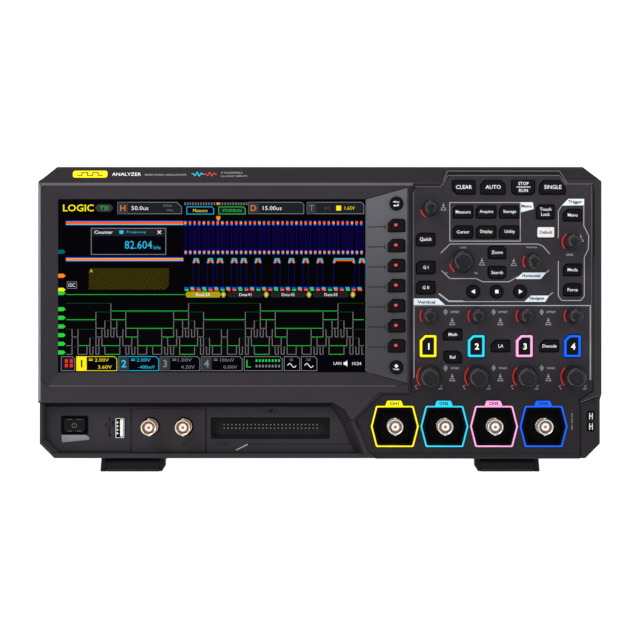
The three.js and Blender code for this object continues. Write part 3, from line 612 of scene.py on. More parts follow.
# Near-black with little gloss, for painted shade in recesses and gaps.
SHADOW_BLACK = plastic("recess_shadow_black", srgb(4, 3, 5), 0.7, depth=5e-6, specular=0.05)
FOOT = rubber("foot_rubber", srgb(12, 10, 12), 0.7, specular=0.15)
WHITE_KEY = plastic("white_key", srgb(226, 224, 224), 0.4, edge_wear_and_highlight=1.0)
WEDGE = plastic("wedge_plastic", srgb(120, 120, 122), 0.35)
NICKEL = metal("jack_nickel", srgb(232, 224, 214), 0.3, share=0.6)
STEEL = metal("socket_steel", srgb(222, 223, 224), 0.2, brushed=(1, 1, 12))
ZINC = metal("zinc_plate", srgb(178, 180, 180), 0.38, brushed=(8, 1, 1))
PIN = metal("pin_metal", srgb(132, 126, 130), 0.45, share=0.5)
WARM = metal("jack_warm_nickel", srgb(244, 218, 196), 0.3, share=0.6)
GOLD = metal("contact_gold", srgb(232, 186, 92), 0.2)
COPPER = metal("contact_copper", srgb(226, 96, 66), 0.4, share=0.3)
PTFE = plastic("jack_insulator", srgb(240, 238, 232), 0.45, edge_wear_and_highlight=1.0)
TONGUE = plastic("socket_tongue", srgb(28, 30, 36), 0.45)
# Lighter greys for painted highlights on edges.
BRIGHT_SHEEN = plastic("painted_edge_highlight", srgb(122, 119, 124), 0.45, edge_wear_and_highlight=1.0)
SHEEN = plastic("painted_highlight", srgb(84, 80, 86), 0.45, edge_wear_and_highlight=1.0)
# Ink for painted highlights on edges, which also prints the power sign.
EDGE_HIGHLIGHT_AND_SIGN_INK = ink("edge_highlight_and_sign_ink", srgb(108, 105, 110))
LINE = ink("line_print", srgb(172, 172, 176))
# The legends, the red print and the channel colours carry a painted glow.
LEGEND = ink("legend_print", srgb(236, 236, 238), painted_glow=0.2)
FAINT = ink("faint_print", srgb(170, 169, 174))
TICK = ink("tick_print", srgb(12, 11, 13))
TAB = ink("tab_print", srgb(226, 236, 244))
TAB_WORD = ink("tab_word", srgb(34, 36, 44))
RED = ink("red_print", srgb(236, 30, 40), painted_glow=0.25)
# The soft keys' lamps; the same red gives the badge's printed burst a painted glow.
RED_GLOW = lit("red_glow", srgb(255, 78, 88), 1.1)
CHANNEL_INK = [
    ink("channel_yellow", srgb(255, 232, 8), 0.25),
    ink("channel_cyan", srgb(30, 208, 240), 0.25),
    ink("channel_pink", srgb(255, 164, 218), 0.25),
    ink("channel_blue", srgb(0, 92, 250), 0.35),
]
CHANNEL_SLOTS = [f"channel_{index}_plastic" for index in (1, 2, 3, 4)]


# ---------------------------------------------------------------- keys and knobs

CUT = {"tl": 2.2, "br": 1.0}
# Each key's width, height, cut corners and legend.
KEYS = {
    "quick_key": (11.7, 7.8, CUT, "Quick"),
    "generator_1_key": (11.7, 7.8, CUT, "G I"),
    "generator_2_key": (11.7, 7.8, CUT, "G II"),
    "clear_key": (14.3, 8.7, {"bl": 3.0}, "CLEAR"),
    "auto_key": (15.4, 8.8, {"tl": 3.0, "tr": 3.0}, "AUTO"),
    "run_stop_key": (14.6, 9.4, {"bl": 2.0, "br": 2.0}, "STOP\nRUN"),
    "single_key": (16.2, 8.8, {"tl": 3.2, "tr": 4.6}, "SINGLE"),
    "touch_lock_key": (11.3, 8.7, CUT, "Touch\nLock"),
    "default_key": (11.0, 6.8, {}, "Default"),
    "zoom_key": (11.1, 7.5, {"tl": 1.8, "tr": 1.8}, "Zoom"),
    "search_key": (11.1, 7.5, {"bl": 1.8, "br": 1.8}, "Search"),
    "trigger_menu_key": (11.4, 7.2, {"tl": 3.0}, "Menu"),
    "trigger_mode_key": (11.1, 7.2, CUT, "Mode"),
    "trigger_force_key": (11.1, 7.5, CUT, "Force"),
    "math_key": (11.7, 6.8, {"tl": 3.0}, "Math"),
    "ref_key": (11.1, 7.2, {"bl": 2.4, "tr": 2.4}, "Ref"),
    "logic_key": (11.7, 7.2, {"tl": 3.0}, "LA"),
    "decode_key": (11.7, 7.2, {"tl": 3.0}, "Decode"),
}
MENU_LEGENDS = ("Measure", "Acquire", "Storage", "Cursor", "Display", "Utility")
MENU_COLUMNS, MENU_ROWS = (93.1, 108.2, 123.4), (169.4, 156.4)
MENU_CENTRES = [(x, z) for z in MENU_ROWS for x in MENU_COLUMNS]
NAV_KEYS = ("nav_back_key", "nav_stop_key", "nav_forward_key")
CHANNELS = (1, 2, 3, 4)
CHANNEL_PITCH = 31.3
CHANNEL_X = [71.4 + CHANNEL_PITCH * index for index in range(4)]
INPUT_X = [48.7 + 32.3 * index for index in range(4)]
INPUT_Z = 30.0
SOFT_KEYS = [(49.7, 160.6 - 13.05 * index) for index in range(7)]
SOFT_KEY_FRONT = 53.4
ROUND_SOFT_KEYS = [(49.6, 174.9), (49.6, 68.3)]
SMALL_KNOB = {"skirt": 5.3, "tip": 4.7, "ribs": 24}
LARGE_KNOB = {"skirt": 7.7, "tip": 6.6, "ribs": 32}
KNOB_DISC = 64.2  # how far out the disc in a knob's face lies
GROOVE = {"low": 54.2, "high": 64.8, "depth": 0.42}
LIT_RIBS = (1.6, 4.1)  # the ribs between these angles carry a painted highlight
KNOBS = {
    "multipurpose_knob": SMALL_KNOB,
    "horizontal_scale_knob": LARGE_KNOB,
    "horizontal_position_knob": SMALL_KNOB,
    "trigger_level_knob": SMALL_KNOB,
    **{f"offset_knob_{channel}": SMALL_KNOB for channel in CHANNELS},
    **{f"scale_knob_{channel}": LARGE_KNOB for channel in CHANNELS},
}
GAP = 0.4  # between a key and the edge of its hole
KEY_FRONT = 52.6
KEY_BACK = 46.4
LEGEND_HEIGHT = {"clear_key": 2.5, "auto_key": 2.5, "single_key": 2.5}


def key_outline(node, grow=0.0):
    x, z = centre_mm(node)
    width, height, cuts, _ = KEYS[node]
    return cornered(x, z, width + 2 * grow, height + 2 * grow, **cuts, radius=0.8)


def menu_outline(x, z, grow=0.0):
    return cornered(x, z, 12.4 + 2 * grow, 7.5 + 2 * grow, **CUT, radius=0.8)


def channel_outline(channel, grow=0.0):
    x, z = centre_mm(f"channel_key_{channel}")
    return cornered(x, z, 10.7 + 2 * grow, 14.3 + 2 * grow, tl=3.4, radius=0.9)


def legend(piece, words, x, z, out, material, height, pitch=3.3, width=None, weight=0.002):
    """Words centred on a key, one row for each line. A row that has a tall letter is taller."""
    rows = words.split("\n")
    for index, row in enumerate(rows):
        level = z + pitch * ((len(rows) - 1) / 2 - index)
        tall = height * 1.28 if any(letter in row for letter in "gjpqyQ") else height
        piece.text(row, x, level, tall, out, material, width, weight=weight)


def rubber_keys():
    for node, (_, _, _, words) in KEYS.items():
        x, z = centre_mm(node)
        white = node == "default_key"
        cap = WHITE_KEY if white else KEY
        piece = Piece(f"{node}_cap", node)
        piece.plate([key_outline(node)], KEY_BACK, KEY_FRONT, cap, edge=0.7, steps=3)
        colour, weight = (TAB_WORD, 0.02) if white else (LEGEND, 0.002)
        height = LEGEND_HEIGHT.get(node, 2.05)
        halves = node == "run_stop_key"
        legend(piece, words, x, z, KEY_FRONT, colour, height, 4.5 if halves else 3.3, weight=weight)
        if halves:
            piece.lines([(x - 4.6, z), (x + 4.6, z)], 0.4, KEY_FRONT, LEGEND)
        piece.finish("white_key" if white else "key_rubber", node)


def menu_keys():
    """Six caps on the web that joins them behind the panel."""
    piece = Piece("menu_key_caps", "menu_keypad")
    for (x, z), words in zip(MENU_CENTRES, MENU_LEGENDS):
        piece.plate([menu_outline(x, z)], KEY_BACK, KEY_FRONT, KEY, edge=0.7, steps=3)
        legend(piece, words, x, z, KEY_FRONT, LEGEND, 2.0)
    piece.block(86, 130.5, 151.5, 174.3, 44.8, KEY_BACK, KEY, edge=0.3)
    piece.finish("key_rubber", "menu_keypad")


def nav_keys():
    """Three round keys, each with a raised sign."""
    arrows = {
        "nav_back_key": [(-1.5, 0.0), (1.0, -1.5), (1.0, 1.5)],
        "nav_stop_key": [(-1.1, -1.1), (1.1, -1.1), (1.1, 1.1), (-1.1, 1.1)],
        "nav_forward_key": [(1.5, 0.0), (-1.0, 1.5), (-1.0, -1.5)],
    }
    for node, shape in arrows.items():
        x, z = centre_mm(node)
        piece = Piece(f"{node}_cap", node)
        profile = [(0.0, KEY_BACK), (4.0, KEY_BACK), (4.0, 51.9), (3.8, 52.4)]
        profile += [(3.3, 52.65), (2.4, 52.6), (0.0, 52.45)]
        piece.turned(profile, x, z, KEY, 48)
        piece.plate([[(x + px, z + pz) for px, pz in shape]], 52.4, 52.7, LEGEND)
        piece.finish("key_rubber", node)


def channel_keys():
    """Coloured rims round a black core that carries the channel's number."""
    for channel, slot, colour in zip(CHANNELS, CHANNEL_SLOTS, CHANNEL_INK):
        node = f"channel_key_{channel}"
        x, z = centre_mm(node)
        piece = Piece(f"{node}_cap", node)
        core = cornered(x, z, 7.7, 11.3, tl=2.4, radius=0.5)
        piece.plate([channel_outline(channel), core], KEY_BACK, KEY_FRONT, colour, edge=0.5)
        piece.plate([grown(core, -0.12)], KEY_BACK, KEY_FRONT - 0.25, KEY, edge=0.5)
        piece.text(str(channel), x + 0.4, z - 0.2, 4.2, KEY_FRONT - 0.25, LEGEND, weight=0.03)
        piece.finish(slot, node)


def knob_profile(size):
    """The knob from its neck to the dished middle of its face."""
    skirt, tip = size["skirt"], size["tip"]
    neck = [(3.0, 49.0), (3.0, 51.6)]
    flange = [(skirt - 0.3, 51.6), (skirt, 51.9), (skirt, 52.9), (skirt - 0.2, 53.2)]
    grip = [(tip + 0.45, 53.5), (tip + 0.2, 54.3), (tip, 62.6), (tip - 0.15, 63.4)]
    rim = [(tip - 0.5, 64.2), (tip - 0.95, 64.75), (tip - 1.4, 64.95), (tip - 1.7, 64.85)]
    dish = [(tip - 1.95, 64.4), (tip - 2.15, 64.2), (tip * 0.4, 64.1), (0.0, 64.05)]
    return neck + flange + grip + rim + dish


def knobs():
    """Ribbed grips with a dished face. The ribs that face the window carry painted highlights."""
    for node, size in KNOBS.items():
        x, z = centre_mm(node)
        ribs, tip = size["ribs"], size["tip"]

        def ripple(radius, out, angle):
            if not GROOVE["low"] <= out <= GROOVE["high"] or radius <= tip - 1.0:
                return radius
            return radius - GROOVE["depth"] * (0.5 - 0.5 * math.cos(ribs * angle)) ** 1.5

        piece = Piece(node.replace("_knob", "_knob_grip"), node)
        piece.turned(knob_profile(size), x, z, KNOB, ribs * 6, ripple)
        disc = [(0.0, 64.0), (tip - 2.3, 64.0), (tip - 2.3, KNOB_DISC), (0.0, KNOB_DISC - 0.05)]
        piece.turned(disc, x, z, KNOB_FACE, 48)
        # A painted highlight on the upper rim of the dish.
        piece.lines(arc(x, z, tip - 2.1, 20, 150), 0.18, KNOB_DISC, KNOB_LIGHT, depth=0.08)
        for rib in range(ribs):
            angle = 2 * math.pi * (rib + 0.5) / ribs
            if LIT_RIBS[0] < angle < LIT_RIBS[1]:
                edge = rect(tip - 1.15, -0.13, tip - 0.55, 0.13)
                piece.plate([edge], 64.5, 64.92, KNOB_LIGHT, place=FRONT @ spun(x, z, angle))
        piece.finish("knob_rubber", node)


# ---------------------------------------------------------------- front panel

# The control panel, the raised surround of the display and the crest round the display's slopes.
CONTROL = [
    (59.6, 182.8), (62.4, 185.9), (78.6, 185.9), (83.0, 196.4), (156.0, 196.4), (161.2, 187.5),
    (177.6, 187.5), (177.6, 53.2), (168.9, 47.2), (168.9, 9.8), (36.8, 9.8), (31.2, 14.5),
    (26.0, 27.5), (23.2, 33.6), (40.2, 50.6), (59.6, 50.6),
]
DISPLAY = [
    (-183.4, 188.2), (-183.4, 45.2), (8.7, 45.2), (16.3, 40.5), (19.5, 34.7), (21.3, 34.2), (38.2, 51.8),
    (57.6, 51.8), (57.6, 184.0), (61.2, 187.6), (79.5, 187.6), (79.5, 188.2),
]
CREST = [
    (-181.6, 183.5), (-177.8, 186.9), (50.5, 186.9), (57.0, 185.3), (57.0, 57.5), (49.5, 56.3),
    (-176.5, 56.3), (-181.6, 60.2),
]
# The band that slopes down into the connector bay, along its outer and its inner edge.
BAND_OUTER = [(-182.0, 45.2), (8.7, 45.2), (13.5, 42.6), (19.8, 33.4), (24.6, 22.5), (29.6, 9.3)]
BAND_INNER = [(-180.0, 42.1), (6.2, 42.1), (9.6, 39.6), (15.6, 29.5), (19.9, 18.5), (23.4, 12.2)]
BAY_CORNER = [(-180.6, 20.0), (-173.0, 12.2)]
BAY_LOW = 12.2
# The slanted top edge of the case, from its low front line to its high back one.
SLANT = {"low": 188.2, "out": 53.0, "high": 199.0, "back": 48.6}


def hexagon(x, z, half_width, half_top, half_height, radius=1.6):
    points = [
        (x - half_width, z), (x - half_top, z - half_height), (x + half_top, z - half_height),
        (x + half_width, z), (x + half_top, z + half_height), (x - half_top, z + half_height),
    ]
    return fillet(points, radius)


def control_holes():
    """The openings of the control panel, for its keys, knobs and jacks."""
    holes = [key_outline(node, GAP) for node in KEYS]
    holes += [menu_outline(x, z, GAP) for x, z in MENU_CENTRES]
    holes += [circle(*centre_mm(node), 4.0 + GAP) for node in NAV_KEYS]
    holes += [circle(*centre_mm(node), 3.4, 24) for node in KNOBS]
    holes += [channel_outline(channel, GAP) for channel in CHANNELS]
    holes += [hexagon(x, INPUT_Z, 13.4, 10.2, 11.6) for x in INPUT_X]
    return holes


def case_shell():
    """The moulded frame: skirt, face, slanted top edge and the recessed bay."""
    piece = Piece("front_bezel")
    skirt = [case_outline(0), case_outline(3.0)]
    piece.plate(skirt, OUT["bezel_back"], SLANT["back"] + 0.4, CHARCOAL, edge=0.6)
    behind_panel = [(x, min(z, 190.5)) for x, z in grown(CONTROL, 0.35)]
    openings = [fillet(distinct(behind_panel), 0.8), fillet(CREST, 1.0), bay_hole()]
    low_top = case_outline(0, top=191.0, top_cut=(1.9, 1.5))
    piece.plate([low_top, *openings, *lug_holes()], 44.6, OUT["face"] - 0.1, CHARCOAL, edge=0.7)
    slant(piece, -183.5, 80.0, SLANT["low"], SLANT["out"], True)
    slant(piece, 79.0, 181.6, 191.0, OUT["face"], False)
    piece.finish("front_plastic", "front_panel")


def slant(piece, left, right, low, out, at_left):
    """A stretch of the slanted top edge, which ends at the case's cut corner."""
    high, back = SLANT["high"], SLANT["back"]
    top_left = -171.5 if at_left else left
    top_right = right if at_left else 171.5
    points = [(left, low, out), (right, low, out), (top_right, high, back), (top_left, high, back)]
    # The slanted faces are a darker grey than the front: painted shade.
    piece.facet(points, 5.0, SHADED_SLOPE, edge=0.5)


def bay_hole():
    """The opening of the connector bay."""
    return [(BAY_CORNER[0][0], BAND_OUTER[0][1]), *BAY_CORNER, (28.6, BAY_LOW), *BAND_OUTER[:0:-1][1:]]


def lug_holes():
    """The openings for the probe compensation lugs."""
    return [rect(173.6, 33.2, 178.8, 40.0, 1.6), rect(173.6, 26.5, 178.8, 33.0, 1.6)]


def display_block():
    """The raised surround of the display and the slopes that lead down to the glass."""
    piece = Piece("display_surround")
    piece.plate([DISPLAY, CREST], 49.4, OUT["rim"], CHARCOAL, edge=0.8, steps=2)
    # Painted highlights along the top and left edges, and along the foot of the crest.
    piece.lines([(-182.2, 187.4), (60.4, 187.4)], 1.8, OUT["rim"], SHEEN)
    piece.lines([(-182.4, 46.4), (-182.4, 187.9)], 1.5, OUT["rim"], BRIGHT_SHEEN)
    piece.lines([(-176.5, 56.2), (49.5, 56.2)], 0.45, OUT["rim"], SHEEN)
    inner = [(-171.0, 178.0), (30.2, 178.0), (30.2, 65.0), (-171.0, 65.0)]
    points = [(x, z, 48.0) for x, z in inner] + [(x, z, 52.75) for x, z in CREST]
    top_left, top_right, low_right, low_left = 0, 1, 2, 3
    faces = [
        (top_left, 4, 5), (top_left, 5, 6, 7, top_right), (low_right, 8, 9, 10, low_left),
        (low_left, 10, 11), (low_left, 11, 4, top_left),
    ]
    piece.sheet(points, faces, 2.4, CHARCOAL)
    piece.finish("front_plastic")


def bay_walls():
    """The slopes round the connector bay."""
    piece = Piece("bay_walls")
    count = len(BAND_OUTER)
    points = [(x, z, 51.6) for x, z in BAND_OUTER] + [(x, z, 43.6) for x, z in BAND_INNER]
    faces = [(k, k + 1, count + k + 1, count + k) for k in range(count - 1)]
    # Painted shade: the band under the overhang is black, the slopes below it a darker grey.
    piece.sheet(points, faces[:1], 1.4, BLACK)
    piece.sheet(points, faces[1:], 1.4, SHADE_AND_SHEEN_GREY)
    corner = [(19.8, 33.4, 52.2), (24.6, 22.5, 52.2), (29.6, 9.3, 52.2)]
    corner += [(36.6, 9.3, 50.6), (31.0, 14.5, 50.6), (25.8, 27.5, 50.6), (22.4, 34.2, 50.6)]
    piece.sheet(corner, [(0, 1, 5, 6), (1, 2, 3, 4, 5)], 3.0, CHARCOAL)
    rim = [(BAY_CORNER[0][0] - 0.2, 44.0, 50.6), *[(x - 0.2, z - 0.1, 50.6) for x, z in BAY_CORNER]]
    foot = [(x + 1.2, z + 0.4, 44.0) for x, z, _ in rim]
    piece.sheet(rim + foot, [(0, 1, 4, 3), (1, 2, 5, 4)], 1.2, CHARCOAL)
    piece.finish("front_plastic")


def control_panel():
    """The panel with its openings, and a dark sheet of painted shade behind it that the shafts pass
    through.
    """
    piece = Piece("control_panel")
    piece.plate([fillet(CONTROL, 0.8), *control_holes()], 46.2, OUT["face"], SHADED_PANEL, edge=0.45)
    shafts = [circle(*centre_mm(node), 3.5, 24) for node in KNOBS]
    piece.plate([rect(24.0, 12.5, 174.0, 186.0), *shafts], 42.4, 43.8, SHADOW_SHEET)
    piece.finish("front_plastic")


# Lines printed on the control panel, each with its width.
PANEL_LINES = [
    (0.5, [(78.7, 142.7), (84.6, 148.6), (141.9, 148.6), (145.1, 147.3), (149.7, 142.0)]),
    (0.5, [(79.1, 131.3), (84.6, 126.1), (101.5, 126.1), (106.1, 124.0), (123.0, 124.0), (128.4, 127.1)]),
    (0.5, [(147.1, 129.7), (149.3, 131.6)]),
    (1.0, [(77.4, 116.3), (83.9, 111.3), (93.4, 111.3)]),
    (0.5, [(93.4, 111.1), (133.4, 111.1)]),
    (0.5, [(149.0, 114.8), (151.6, 117.0)]),
    (0.6, [(61.2, 61.4), (61.2, 108.5), (176.0, 108.5), (176.0, 60.1)]),
    (0.5, [(157.5, 173.6), (155.2, 170.0), (155.2, 152.5)]),
    (0.5, [(155.2, 137.5), (155.2, 114.7), (157.5, 111.8), (169.8, 111.8), (172.1, 114.7), (172.1, 140.1),
           (174.7, 145.3), (175.0, 153.8), (173.1, 158.0), (171.8, 160.3), (171.8, 173.9)]),
]
MENU_FRAME = [(84.5, 150.5), (130.4, 150.5), (130.4, 175.6), (84.5, 175.6)]
# White tabs behind a word: the outline, the word's place and its width.
TABS = {
    "Menu": ([(130.4, 175.8), (138.6, 175.8), (139.2, 171.4), (130.4, 169.1)], 134.4, 173.3, 6.6),
    "Horizontal": ([(132.1, 130.0), (147.3, 130.0), (143.8, 125.8), (127.3, 125.8)], 137.6, 127.9, 11.6),
    "Navigate": ([(137.2, 115.0), (149.2, 115.0), (146.7, 110.9), (132.9, 110.9)], 141.2, 113.0, 9.6),
    "Vertical": ([(61.0, 113.1), (76.8, 113.1), (82.0, 108.4), (61.0, 108.4)], 69.2, 110.8, 11.6),
    "Trigger": ([(161.7, 178.0), (172.0, 178.0), (172.0, 173.8), (157.3, 173.6)], 166.2, 175.8, 9.0),
}
# Small words on the control panel, each with its x, z and height.
PANEL_WORDS = {
    "SCALE": (93.2, 146.3, 1.1),
    "POSITION": (137.9, 146.4, 1.1),
    "LEVEL": (162.7, 141.6, 1.3),
    "s": (82.4, 129.8, 1.2),
    "ns": (101.6, 129.6, 1.2),
}
PUSH_ICONS = [(105.4, 137.2), (126.2, 136.8), (169.8, 152.6), (80.4, 173.0)]
# Where the red arc beside a knob starts and ends, in degrees.
RED_ARCS = {
    "multipurpose_knob": (188, 240),
    "horizontal_scale_knob": (190, 232),
    "trigger_level_knob": (122, 222),
}


def diamond(piece, x, z, out):
    piece.lines([(x - 1.2, z), (x, z + 1.7), (x + 1.2, z), (x, z - 1.7)], 0.35, out, FAINT, closed=True)
    piece.mark(circle(x, z, 0.45, 12), out, FAINT)


def push_icon(piece, x, z, out):
    """A knob from the side with an arrow pressing down on it."""
    knob = [(x - 1.5, z - 2.2), (x - 0.9, z - 0.7), (x + 0.9, z - 0.7), (x + 1.5, z - 2.2)]
    piece.mark([(x - 1.0, z + 0.9), (x, z - 0.2), (x + 1.0, z + 0.9)], out, FAINT)
    piece.lines([(x, z + 0.8), (x, z + 2.2)], 0.4, out, FAINT)
    piece.lines(knob, 0.35, out, FAINT)
    piece.lines([(x - 1.9, z - 2.3), (x + 1.9, z - 2.3)], 0.35, out, FAINT)


def panel_print():
    """Everything that is printed on the control panel."""
    out = OUT["face"]
    piece = Piece("panel_print")
    for width, points in PANEL_LINES:
        piece.lines(points, width, out, LINE)
    piece.lines(MENU_FRAME, 0.5, out, LINE, closed=True)
    for words, (outline, x, z, width) in TABS.items():
        piece.mark(fillet(outline, 0.3), out, TAB)
        legend(piece, words, x, z, out + PRINT, TAB_WORD, 2.0, width=width, weight=0.026)
    for x in CHANNEL_X[:3]:
        for words, z in (("OFFSET", 104.3), ("SCALE", 67.8)):
            diamond(piece, x + 10.4, z, out)
            piece.text(words, x + 16.4, z, 1.35, out, FAINT)
            push_icon(piece, x + 14.7, z - 6.0, out)
    for x in CHANNEL_X:
        piece.text("V", x - 8.6, 54.4, 1.3, out, FAINT)
        piece.text("mV", x + 7.2, 54.4, 1.3, out, FAINT)
        piece.lines([(x - 9.8, 55.6), (x - 8.4, 56.8)], 0.3, out, FAINT)
        piece.lines([(x + 8.2, 56.8), (x + 6.8, 55.6)], 0.3, out, FAINT)
    for words, (x, z, height) in PANEL_WORDS.items():
        piece.text(words, x, z, height, out, FAINT)
    for x, z in PUSH_ICONS:
        push_icon(piece, x, z, out)
    for node, size in KNOBS.items():
        x, z = centre_mm(node)
        reach = size["skirt"] + (0.6 if size is LARGE_KNOB else 0.9)
        start, end = RED_ARCS.get(node, (132, 222) if size is LARGE_KNOB else (145, 215))
        piece.lines(arc(x, z, reach, start, end), 0.55, out, RED)
    upright = FRONT @ spun(164.2, 33.0, math.pi / 2, out)
    piece.text("INPUT 1 MOhm 16 pF", 0.0, 0.0, 1.1, 0.0, FAINT, place=upright)
    piece.finish("front_plastic")


def badge():
    """A plain badge and generic lettering on the slanted top edge."""
    height = SLANT["high"] - SLANT["low"]
    lean = math.degrees(math.atan2(SLANT["out"] - SLANT["back"], height))
    place = face_at(y=-SLANT["out"], z=SLANT["low"], lean=lean)
    middle = height / math.cos(math.radians(lean)) / 2 + 0.5
    piece = Piece("top_badge", place=place)
    pill = cornered(-149.7, middle, 22.6, 5.0, radius=1.6)
    piece.plate([pill], -0.05, 0.3, CHANNEL_INK[0], edge=0.15)
    wave = [(-158.0, middle - 1)]
    for x, rise in ((-155.0, 1), (-151.5, -1), (-148.0, 1), (-144.5, -1)):
        wave += [(x, middle - rise), (x, middle + rise)]
    piece.lines([*wave, (-141.5, middle - 1)], 0.6, 0.3, BLACK)
    piece.text("ANALYZER", -126.0, middle, 2.3, 0.0, LEGEND, width=19.0, weight=0.008)
    piece.text("MIXED SIGNAL OSCILLOSCOPE", -100.6, middle - 0.4, 1.2, 0.0, FAINT, width=27.0)
    piece.text("4 CHANNELS", -57.6, middle + 1.1, 1.2, 0.0, FAINT, width=14.0)
    piece.text("16 LOGIC INPUTS", -56.0, middle - 1.4, 1.2, 0.0, FAINT, width=17.0)
    # Two printed bursts; the red one is drawn in the lamps' material, a painted glow.
    for start, colour in ((-83.6, CHANNEL_INK[1]), (-75.4, RED_GLOW)):
        swing = [1.5 * math.sin(1.1 * k) * math.sin(math.pi * k / 16) for k in range(17)]
        burst = [(start + 0.5 * k, middle + z) for k, z in enumerate(swing)]
        piece.lines(burst, 0.45, 0.0, colour)
    piece.finish("front_plastic")


# Painted highlights on edges, dark grooves and a band of painted shade: each line's width and how far out
# it lies.
TRIM_LINES = [
    (0.4, 0.0, EDGE_HIGHLIGHT_AND_SIGN_INK, [(79.3, 186.6), (83.4, 193.2), (155.9, 193.2), (160.6, 186.8)]),
    (2.0, -0.03, BLACK, [(82.2, 190.6), (84.4, 194.6), (155.0, 194.6), (158.0, 190.6)]),
    (0.7, 0.02, BLACK, [(26.1, 28.0), (23.5, 33.8), (40.3, 50.5), (58.8, 50.5)]),
    (0.3, 0.0, EDGE_HIGHLIGHT_AND_SIGN_INK, [(60.9, 61.0), (60.9, 182.6)]),
    (0.3, 0.0, EDGE_HIGHLIGHT_AND_SIGN_INK, [(177.0, 60.0), (177.0, 186.5)]),
    (0.5, 0.0, BLACK, [(30.6, 12.4), (166.6, 12.4)]),
    (1.3, -0.1, BLACK, [(169.4, 9.6), (169.4, 44.6), (181.4, 49.0)]),
    (0.3, 0.0, EDGE_HIGHLIGHT_AND_SIGN_INK, [(170.0, 45.6), (181.6, 50.2)]),
    (0.8, -0.1, BLACK, [(178.7, 141.0), (178.7, 183.5)]),
]


def panel_trim():
    """Grooves, painted highlight edges and painted shade round the control panel."""
    out = OUT["face"]
    piece = Piece("panel_trim")
    # A painted highlight along the top edge of the panel's crown.
    crown = [(62.0, 185.9), (78.6, 185.9), (83.0, 196.1), (156.0, 196.1), (161.2, 187.7), (177.4, 187.7)]
    piece.lines(crown, 0.45, out - 0.25, EDGE_HIGHLIGHT_AND_SIGN_INK, depth=0.3)
    for width, lift, material, points in TRIM_LINES:
        piece.lines(points, width, out + lift, material)
    cheek = [(170.2, 43.2), (180.2, 47.2), (181.8, 19.0), (172.8, 10.0), (170.2, 10.0)]
    # The cheek is a darker grey: painted shade.
    piece.plate([fillet(cheek, 0.8), *lug_holes()], out - 0.6, out + 0.6, SHADE_AND_SHEEN_GREY, edge=0.4)
    piece.finish("front_plastic")


def fascia():
    """The sloped strip of soft keys beside the display."""
    lean = math.degrees(math.atan2(52.7 - 48.2, 57.0 - 30.0))
    place = face_at(x=43.5, y=-50.45, turn=-lean)
    outline = [(-13.6, 65.2), (13.7, 57.8), (13.7, 185.1), (-13.6, 177.8)]
    holes = [cornered(x - 43.3, z, 11.5, 8.6, tl=3.0, tr=1.2, radius=0.6) for x, z in SOFT_KEYS]
    holes += [circle(x - 43.3, z, 4.5) for x, z in ROUND_SOFT_KEYS]
    piece = Piece("soft_key_fascia", place=place)
    piece.plate([fillet(outline, 0.5), *holes], -2.2, 0.0, FASCIA, edge=0.3)
    for _, z in SOFT_KEYS:
        piece.lines([(-12.4, z - 0.8), (-1.2, z - 0.8)], 0.55, 0.0, TICK)
        piece.lines([(-1.2, z + 0.6), (-1.2, z - 2.2)], 0.5, 0.0, TICK)
    piece.finish("fascia_plastic", "softkey_fascia")


def soft_keys():
    """Seven keys with a red lamp and two round keys, on the web behind the fascia."""
    keys = Piece("soft_key_caps", "softkey_keypad")
    for x, z in SOFT_KEYS:
        cap = cornered(x, z, 10.7, 7.8, tl=3.0, tr=1.2, radius=0.7)
        keys.plate([cap], KEY_BACK, SOFT_KEY_FRONT, KEY, edge=0.7, steps=3)
        keys.plate([rect(x - 1.9, z - 0.9, x + 1.1, z + 1.5, 0.5)], 53.2, 53.5, BLACK)
        keys.plate([rect(x - 1.4, z - 0.5, x + 0.6, z + 1.1, 0.4)], 53.3, 53.65, RED_GLOW, edge=0.1)
    for x, z in ROUND_SOFT_KEYS:
        profile = [(0.0, KEY_BACK), (4.1, KEY_BACK), (4.1, 53.0), (3.8, 53.5), (3.0, 53.6), (0.0, 53.4)]
        keys.turned(profile, x, z, KEY, 48)
    (x, z), (x_low, z_low) = ROUND_SOFT_KEYS
    out = SOFT_KEY_FRONT + 0.1
    keys.text("Menu", x, z + 1.1, 1.2, out, LEGEND, width=4.6, weight=0.01)
    keys.lines([(x + 1.2, z - 0.2), (x + 1.2, z - 1.5), (x - 0.9, z - 1.5)], 0.5, out, LEGEND)
    arrow = [(x - 2.0, z - 1.5), (x - 0.8, z - 2.3), (x - 0.8, z - 0.7)]
    for sign in (arrow, circle(x_low, z_low + 0.9, 1.3, 4)):
        keys.plate([sign], SOFT_KEY_FRONT, SOFT_KEY_FRONT + 0.25, LEGEND)
    keys.text("Help", x_low, z_low - 1.3, 1.3, out, LEGEND, width=4.0, weight=0.01)
    # A near-black web behind the keys: painted shade.
    keys.block(42.5, 56.2, 62.0, 181.0, 45.2, 46.6, SHADOW_BLACK, edge=0.3)
    keys.finish("key_rubber", "softkey_keypad")


